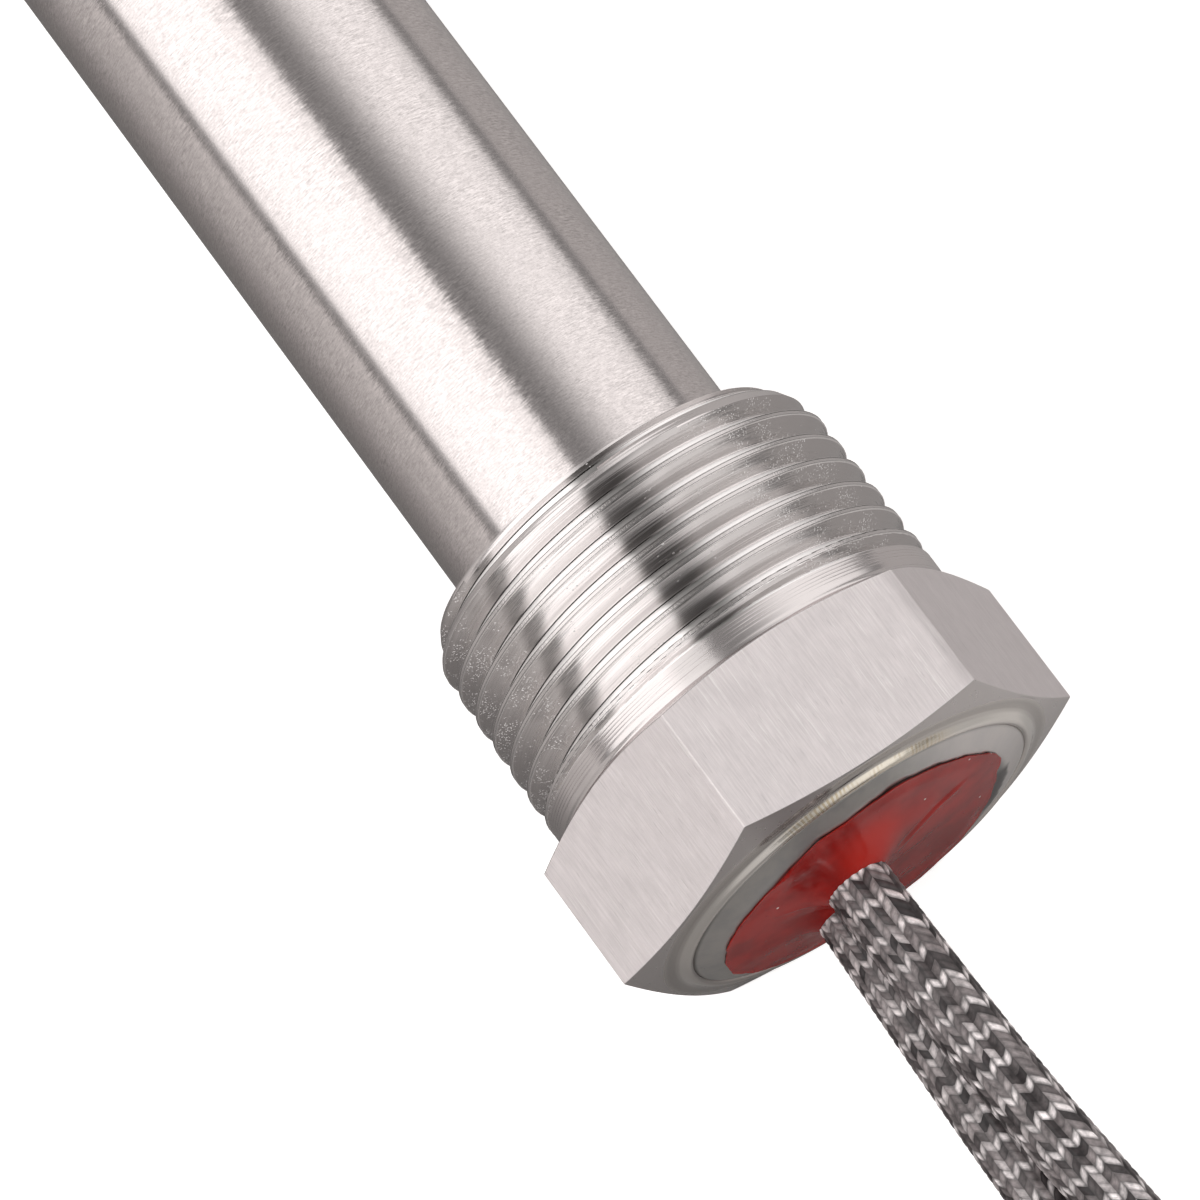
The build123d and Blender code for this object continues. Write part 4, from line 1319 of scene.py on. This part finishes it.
def make_terminal(name, node, route):
    place = placer(route)
    zc, z0, t = 2.75, 0.80, 0.85
    verts, faces = [], []

    def add(points, fs):
        k = sum(len(v) for v in verts)
        verts.append(np.asarray(points, float))
        faces.extend([tuple(int(i) + k for i in f) for f in fs])

    # barrel of rolled sheet, open along the top, that flattens into the tongue
    xs = np.concatenate([[0.0, 0.08, 0.3], np.linspace(0.8, 5.4, 12), np.linspace(5.6, 8.0, 25)])
    m = 49
    loops = []
    for x in xs:
        f = smooth(x, 6.0, 7.9)
        rho = 1 / ((1 - f) / 1.525 + f / 80.0)
        g = smooth(x, 5.5, 7.2)
        w = (1 - g) * 9.53 + g * 4.30
        tt = t - 0.10 * smooth(x, 7.5, 8.0) - (0.12 if x < 0.05 else 0.0)
        dent = 0.22 * math.exp(-(((x - 2.9) / 0.9) ** 2))
        th = np.linspace(-w / 2, w / 2, m) / rho
        nrm = np.stack([-np.sin(th), np.cos(th)], 1)
        mid = np.stack([rho * np.sin(th), z0 + t / 2 + rho * (1 - np.cos(th))], 1)
        mid = mid + (nrm * (dent * smooth(-np.cos(th), 0.2, 0.9))[:, None] if x < 6 else 0)
        outer, inner = mid - nrm * tt / 2, mid + nrm * tt / 2
        sec = np.vstack([outer, inner[::-1]])
        loops.append(np.column_stack([np.full(len(sec), x), sec]))
    L = np.array(loops)
    k = 2 * m
    fs = ring_grid(len(xs), k).tolist()
    for row in (0, len(xs) - 1):
        for i in range(m - 1):
            fs.append([row * k + i, row * k + i + 1, row * k + (k - 2 - i), row * k + (k - 1 - i)])
    add(L.reshape(-1, 3), fs)
    # flat tongue and ring, punched from the same sheet
    rx, ro, ri, hw = 12.1, 4.5, 2.15, 2.2
    a0 = math.asin(hw / ro)
    arc = np.linspace(-math.pi + a0 + 0.10, math.pi - a0 - 0.10, 121)
    rim = np.stack([rx + ro * np.cos(arc), ro * np.sin(arc)], 1)
    neck = rx - ro * math.cos(a0) - 0.35
    outline = np.vstack([[(7.45, hw), (7.45, 0.0), (7.45, -hw), (neck, -hw), (neck + 0.22, -hw - 0.02)], rim, [(neck + 0.22, hw + 0.02), (neck, hw)]])
    b = np.linspace(0, 2 * math.pi, 72, endpoint=False)
    hole = np.stack([rx + ri * np.cos(b), ri * np.sin(b)], 1)
    hole = hole[::-1]
    bev = 0.09
    sets = [(z0, 0.0), (z0 + bev, 1.0), (z0 + 0.90 - 1.4 * bev, 1.0), (z0 + 0.90, 0.0)]
    for loop in (outline, hole):
        inset = offset_loop(loop, bev)
        n_l = len(loop)
        pts = []
        for z, full in sets:
            q = loop if full else inset
            pts.append(np.column_stack([q, np.full(n_l, z)]))
        add(np.vstack(pts), ring_grid(4, n_l).tolist())
    o2, h2 = offset_loop(outline, bev), offset_loop(hole, bev)
    n_o, n_h = len(o2), len(h2)
    edges = [(i, (i + 1) % n_o) for i in range(n_o)] + [(n_o + i, n_o + (i + 1) % n_h) for i in range(n_h)]
    res = delaunay_2d_cdt(np.vstack([o2, h2]).tolist(), edges, [], 0, 1e-9)
    v2 = np.array([tuple(v) for v in res[0]])
    tri = [list(f) for f in res[2] if math.hypot(*(v2[list(f)].mean(0) - (rx, 0))) > ri + 0.5 * bev]
    tri = [f for f in tri if inside_outline(v2[f].mean(0), o2)]
    for z in (z0, z0 + 0.90):
        add(np.column_stack([v2, np.full(len(v2), z)]), tri)
    P = np.vstack(verts)
    ob = outward(build(name, place(P), faces), 35)
    ob.data.materials.append(tinned)
    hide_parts(node)
    return ob


def inside_outline(p, loop):
    q = np.roll(loop, -1, 0)
    hit = ((loop[:, 1] > p[1]) != (q[:, 1] > p[1])) & (
        p[0] < (q[:, 0] - loop[:, 0]) * (p[1] - loop[:, 1]) / np.where(q[:, 1] == loop[:, 1], 1e-12, q[:, 1] - loop[:, 1]) + loop[:, 0]
    )
    return bool(hit.sum() % 2)


def make_collar(name, node, route, seed):
    """Black sleeve shrunk over the end of the lead and most of the barrel."""
    place = placer(route)
    rng = np.random.default_rng(seed)
    cols = 96
    a = np.linspace(0, 2 * math.pi, cols, endpoint=False)
    ph = rng.uniform(0, 6.28, 6)
    prof = [(-6.0, 1.965), (-6.0, 2.15), (-5.97, 2.22), (-5.9, 2.27), (-5.75, 2.31)]
    prof += [(x, 2.32 + 0.05 * smooth(x, -4.0, -1.0) + 0.09 * smooth(x, -0.8, 0.4) - 0.07 * smooth(x, 2.0, 3.7)) for x in np.linspace(-5.5, 3.6, 60)]
    prof += [(3.8, 2.36), (3.93, 2.33), (3.98, 2.27), (4.0, 2.18), (4.0, 1.965)]
    rows = []
    for x, r in prof:
        w = smooth(r, 2.0, 2.25)
        wave = 0.018 * np.sin(3 * a + 1.9 * x + ph[0]) + 0.012 * np.sin(5 * a - 2.7 * x + ph[1]) + 0.016 * math.sin(2.4 * x + ph[2])
        seam = 0.02 * np.exp(-((((a - 1.1 + math.pi) % (2 * math.pi) - math.pi) / 0.10) ** 2))
        ends = 0.02 * np.sin(4 * a + ph[3]) if abs(x) > 3.7 else 0.0
        rr = r + w * (wave + seam)
        rows.append(np.stack([x + ends * w + 0 * a, rr * np.cos(a), 2.75 + rr * np.sin(a)], -1))
    rows += [np.stack([x + 0 * a, 1.965 * np.cos(a), 2.75 + 1.965 * np.sin(a)], -1) for x in (2.0, 0.0, -3.0)]
    P = np.array(rows)
    ob = outward(build(name, place(P.reshape(-1, 3)), ring_grid(len(rows), cols, closed_rows=True)), 50)
    ob.data.materials.append(shrunk)
    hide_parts(node)
    return ob


def make_strands(name, node, route):
    """Nineteen tinned wires, laid up, from inside the barrel to their cut ends."""
    place = placer(route)
    rw, sides = 0.215, 8
    seats = [(0.0, 0.0)] + [(0.438, 60 * i) for i in range(6)] + [(0.845, 30 * i) for i in range(12)]
    verts, faces, k = [], [], 0
    b = np.linspace(0, 2 * math.pi, sides, endpoint=False)
    for i, (rc, deg) in enumerate(seats):
        end = 6.86 + 0.13 * math.sin(i * 2.4)
        xs = np.linspace(0.1, end, 36)
        th = math.radians(deg) + xs / 14.0 * 2 * math.pi
        spread = rc * (1 + 0.03 * smooth(xs, 5.5, 7.0))
        cy, cz = spread * np.cos(th), 2.75 + spread * np.sin(th)
        ring = np.stack([
            np.repeat(xs[:, None], sides, 1),
            cy[:, None] + rw * np.cos(b)[None, :],
            cz[:, None] + rw * np.sin(b)[None, :],
        ], -1)
        n_r = len(xs)
        verts.append(ring.reshape(-1, 3))
        faces += [tuple(int(q) + k for q in f) for f in ring_grid(n_r, sides).tolist()]
        faces.append(tuple(k + j for j in range(sides)))
        faces.append(tuple(k + (n_r - 1) * sides + j for j in range(sides)))
        k += n_r * sides
    ob = outward(build(name, place(np.vstack(verts)), faces), 50)
    ob.data.materials.append(wire)
    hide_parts(node)
    return ob


def make_tie():
    """Nylon strap with a fine ladder, its square head and the cut tail."""
    cy, cz, tx = 2.425, 2.75, 77.0 + 77.9
    half, ri = (17.75 - 3.98) / 2 , 1.99
    path = []
    for y in np.linspace(-half, half, 140, endpoint=False):
        path.append((y, ri, 0.0, 1.0))
    for t in np.linspace(math.pi / 2, -math.pi / 2, 40, endpoint=False):
        path.append((half + ri * math.cos(t), ri * math.sin(t), math.cos(t), math.sin(t)))
    for y in np.linspace(half, -half, 60, endpoint=False):
        path.append((y, -ri, 0.0, -1.0))
    for t in np.linspace(-math.pi / 2, -3 * math.pi / 2, 40, endpoint=False):
        path.append((-half + ri * math.cos(t), ri * math.sin(t), math.cos(t), math.sin(t)))
    path = np.array(path)
    seg = np.linalg.norm(np.roll(path[:, :2], -1, 0) - path[:, :2], axis=1)
    s = np.concatenate([[0], np.cumsum(seg)[:-1]])
    sec = [(-1.86, 0.0), (-2.0, 0.12), (-2.0, 0.66), (-1.90, 0.77), (-1.42, 0.78), (-1.26, None), (-0.6, None), (0.6, None), (1.26, None),
           (1.42, 0.78), (1.90, 0.77), (2.0, 0.66), (2.0, 0.12), (1.86, 0.0)]
    rows = []
    for (y, z, ny, nz), d in zip(path, s):
        tooth = 0.60 + 0.13 * (abs(((d / 0.9) % 1) - 0.5) * 2) ** 0.7
        rows.append([(tx + u, cy + y + (h if h is not None else tooth) * ny, cz + z + (h if h is not None else tooth) * nz) for u, h in sec])
    P = np.array(rows) / 1000
    ob = build("hank_tie_strap", P.reshape(-1, 3), ring_grid(len(rows), len(sec), closed_rows=True))
    outward(ob, 35)
    # head and tail
    bm = bmesh.new()
    bm.from_mesh(ob.data)

    def block(x, y, z, sx, sy, sz, bev, pocket=0.0, slant=0.0):
        made = bmesh.ops.create_cube(bm, size=1.0)["verts"]
        for v in made:
            v.co.x = (x + v.co.x * sx) / 1000
            v.co.y = (y + v.co.y * sy + (slant * v.co.z)) / 1000
            v.co.z = (z + v.co.z * sz) / 1000
        fs = {f for v in made for f in v.link_faces}
        if pocket:
            top = max(fs, key=lambda f: f.calc_center_median().z)
            bmesh.ops.inset_individual(bm, faces=[top], thickness=pocket / 1000, depth=-0.0007)
        es = list({e for v in made for e in v.link_edges if all(w in made for w in e.verts)})
        bmesh.ops.bevel(bm, geom=es, offset=bev / 1000, segments=3, profile=0.5, affect="EDGES")

    block(tx, 2.4, 6.75, 5.3, 4.9, 2.5, 0.45, pocket=1.25)
    block(tx, 5.55, 6.55, 4.0, 2.2, 0.80, 0.16, slant=0.5)
    bmesh.ops.recalc_face_normals(bm, faces=bm.faces)
    bm.to_mesh(ob.data)
    bm.free()
    ob.data.polygons.foreach_set("use_smooth", np.full(len(ob.data.polygons), True))
    ob.data.set_sharp_from_angle(angle=math.radians(32))
    ob.data.materials.append(nylon)
    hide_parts("hank_tie")
    return ob


def plain(name, base, rough, dark=0.85, scale=1.2, bump=0.3, bump_scale=4.0, distance=0.00004, metallic=0.0, spec=0.5):
    m, n = material(name)
    p = n.plain_mm()
    col = n.mix(n.step(n.noise(p, scale, 4.0, 0.6), 0.35, 0.65), tuple(c * dark for c in base), base)
    r = n.math("ADD", n.math("MULTIPLY", n.math("SUBTRACT", n.noise(p, scale * 2, 2.0, 0.5), 0.5), 0.10), rough)
    h = n.bump(n.noise(p, bump_scale, 3.0, 0.6), bump, distance)
    pr = n.finish(col, r, metallic, h)
    pr.inputs["Specular IOR Level"].default_value = spec
    return m, pr


def woven(name, base):
    """Glass sleeving: fine crossed yarns round a tube that lies along X."""
    m, n = material(name)
    x, y, z = n.split(n.mm())
    ang = n.math("ARCTAN2", z, n.math("ADD", y, 1.6))
    u = n.math("SINE", n.math("ADD", n.math("MULTIPLY", x, 6.0), n.math("MULTIPLY", ang, 9.0)))
    v = n.math("SINE", n.math("SUBTRACT", n.math("MULTIPLY", x, 6.0), n.math("MULTIPLY", ang, 9.0)))
    w = n.math("MULTIPLY", u, v)
    col = n.mix(n.step(w, -0.4, 0.4), tuple(c * 0.78 for c in base), base)
    n.finish(col, 0.62, 0.0, n.bump(w, 0.5, 0.00006))
    return m


tinned, _ = plain("tinned_sheet", (0.72, 0.71, 0.69), 0.30, dark=0.90, scale=0.8, bump=0.16, bump_scale=2.2, metallic=1.0)
shrunk, _ = plain("shrunk_sleeve", (0.022, 0.022, 0.024), 0.42, dark=0.75, scale=0.9, bump=0.25, bump_scale=5.0)
wire, _ = plain("tinned_wire", (0.66, 0.64, 0.60), 0.26, dark=0.80, scale=1.5, bump=0.15, bump_scale=6.0, metallic=1.0)
nylon, nylon_pr = plain("natural_nylon", (0.80, 0.79, 0.76), 0.38, dark=0.95, scale=0.6, bump=0.10, bump_scale=3.0)
nylon_pr.inputs["Subsurface Weight"].default_value = 0.25
nylon_pr.inputs["Subsurface Radius"].default_value = (1.0, 0.8, 0.6)
nylon_pr.inputs["Subsurface Scale"].default_value = 0.0012
for tag, route, seed in (("a", ROUTE_A, 41), ("b", ROUTE_B, 43)):
    make_terminal("ring_terminal_%s_rolled" % tag, "ring_terminal_" + tag, route)
    make_collar("collar_%s_shrunk" % tag, "collar_" + tag, route, seed)
    make_strands("lead_%s_wires" % tag, "lead_%s_strands_end" % tag, route)
tie = make_tie()

# ---- what is inside the sheath --------------------------------------------
ceramic, _ = plain("unglazed_ceramic", (0.84, 0.81, 0.74), 0.72, dark=0.93, scale=0.7, bump=0.35, bump_scale=3.0)
powder, _ = plain("magnesia_powder", (0.80, 0.775, 0.72), 0.90, dark=0.84, scale=1.5, bump=0.7, bump_scale=6.0)
cement, _ = plain("potting_cement", (0.74, 0.71, 0.65), 0.86, dark=0.82, scale=0.9, bump=0.6, bump_scale=2.5)
oxide, _ = plain("oxidised_wire", (0.30, 0.285, 0.27), 0.46, dark=0.70, scale=2.0, bump=0.3, bump_scale=8.0, metallic=1.0)
nickel, _ = plain("drawn_nickel", (0.60, 0.58, 0.53), 0.30, dark=0.88, scale=1.0, bump=0.2, bump_scale=5.0, metallic=1.0)
glass = woven("glass_sleeving", (0.84, 0.82, 0.76))
closure = steel("closure_disc", (0.60, 0.57, 0.55), 0.30, rings=(0.3, 8.0, 1.5), rough_var=0.05)
for node, mat in (
    ("end_cap", closure), ("tip_spacer", ceramic), ("ceramic_core_1", ceramic), ("ceramic_core_2", ceramic),
    ("ceramic_core_3", ceramic), ("ceramic_core_4", ceramic), ("resistance_winding", oxide), ("magnesia_fill", powder),
    ("head_bush", ceramic), ("head_cement", cement), ("terminal_pin_a", nickel), ("terminal_pin_b", nickel),
    ("crimp_a", nickel), ("crimp_b", nickel), ("crimp_sleeve_a", glass), ("crimp_sleeve_b", glass),
    ("lead_a_strands_head", wire), ("lead_b_strands_head", wire),
):
    dress(node, mat)
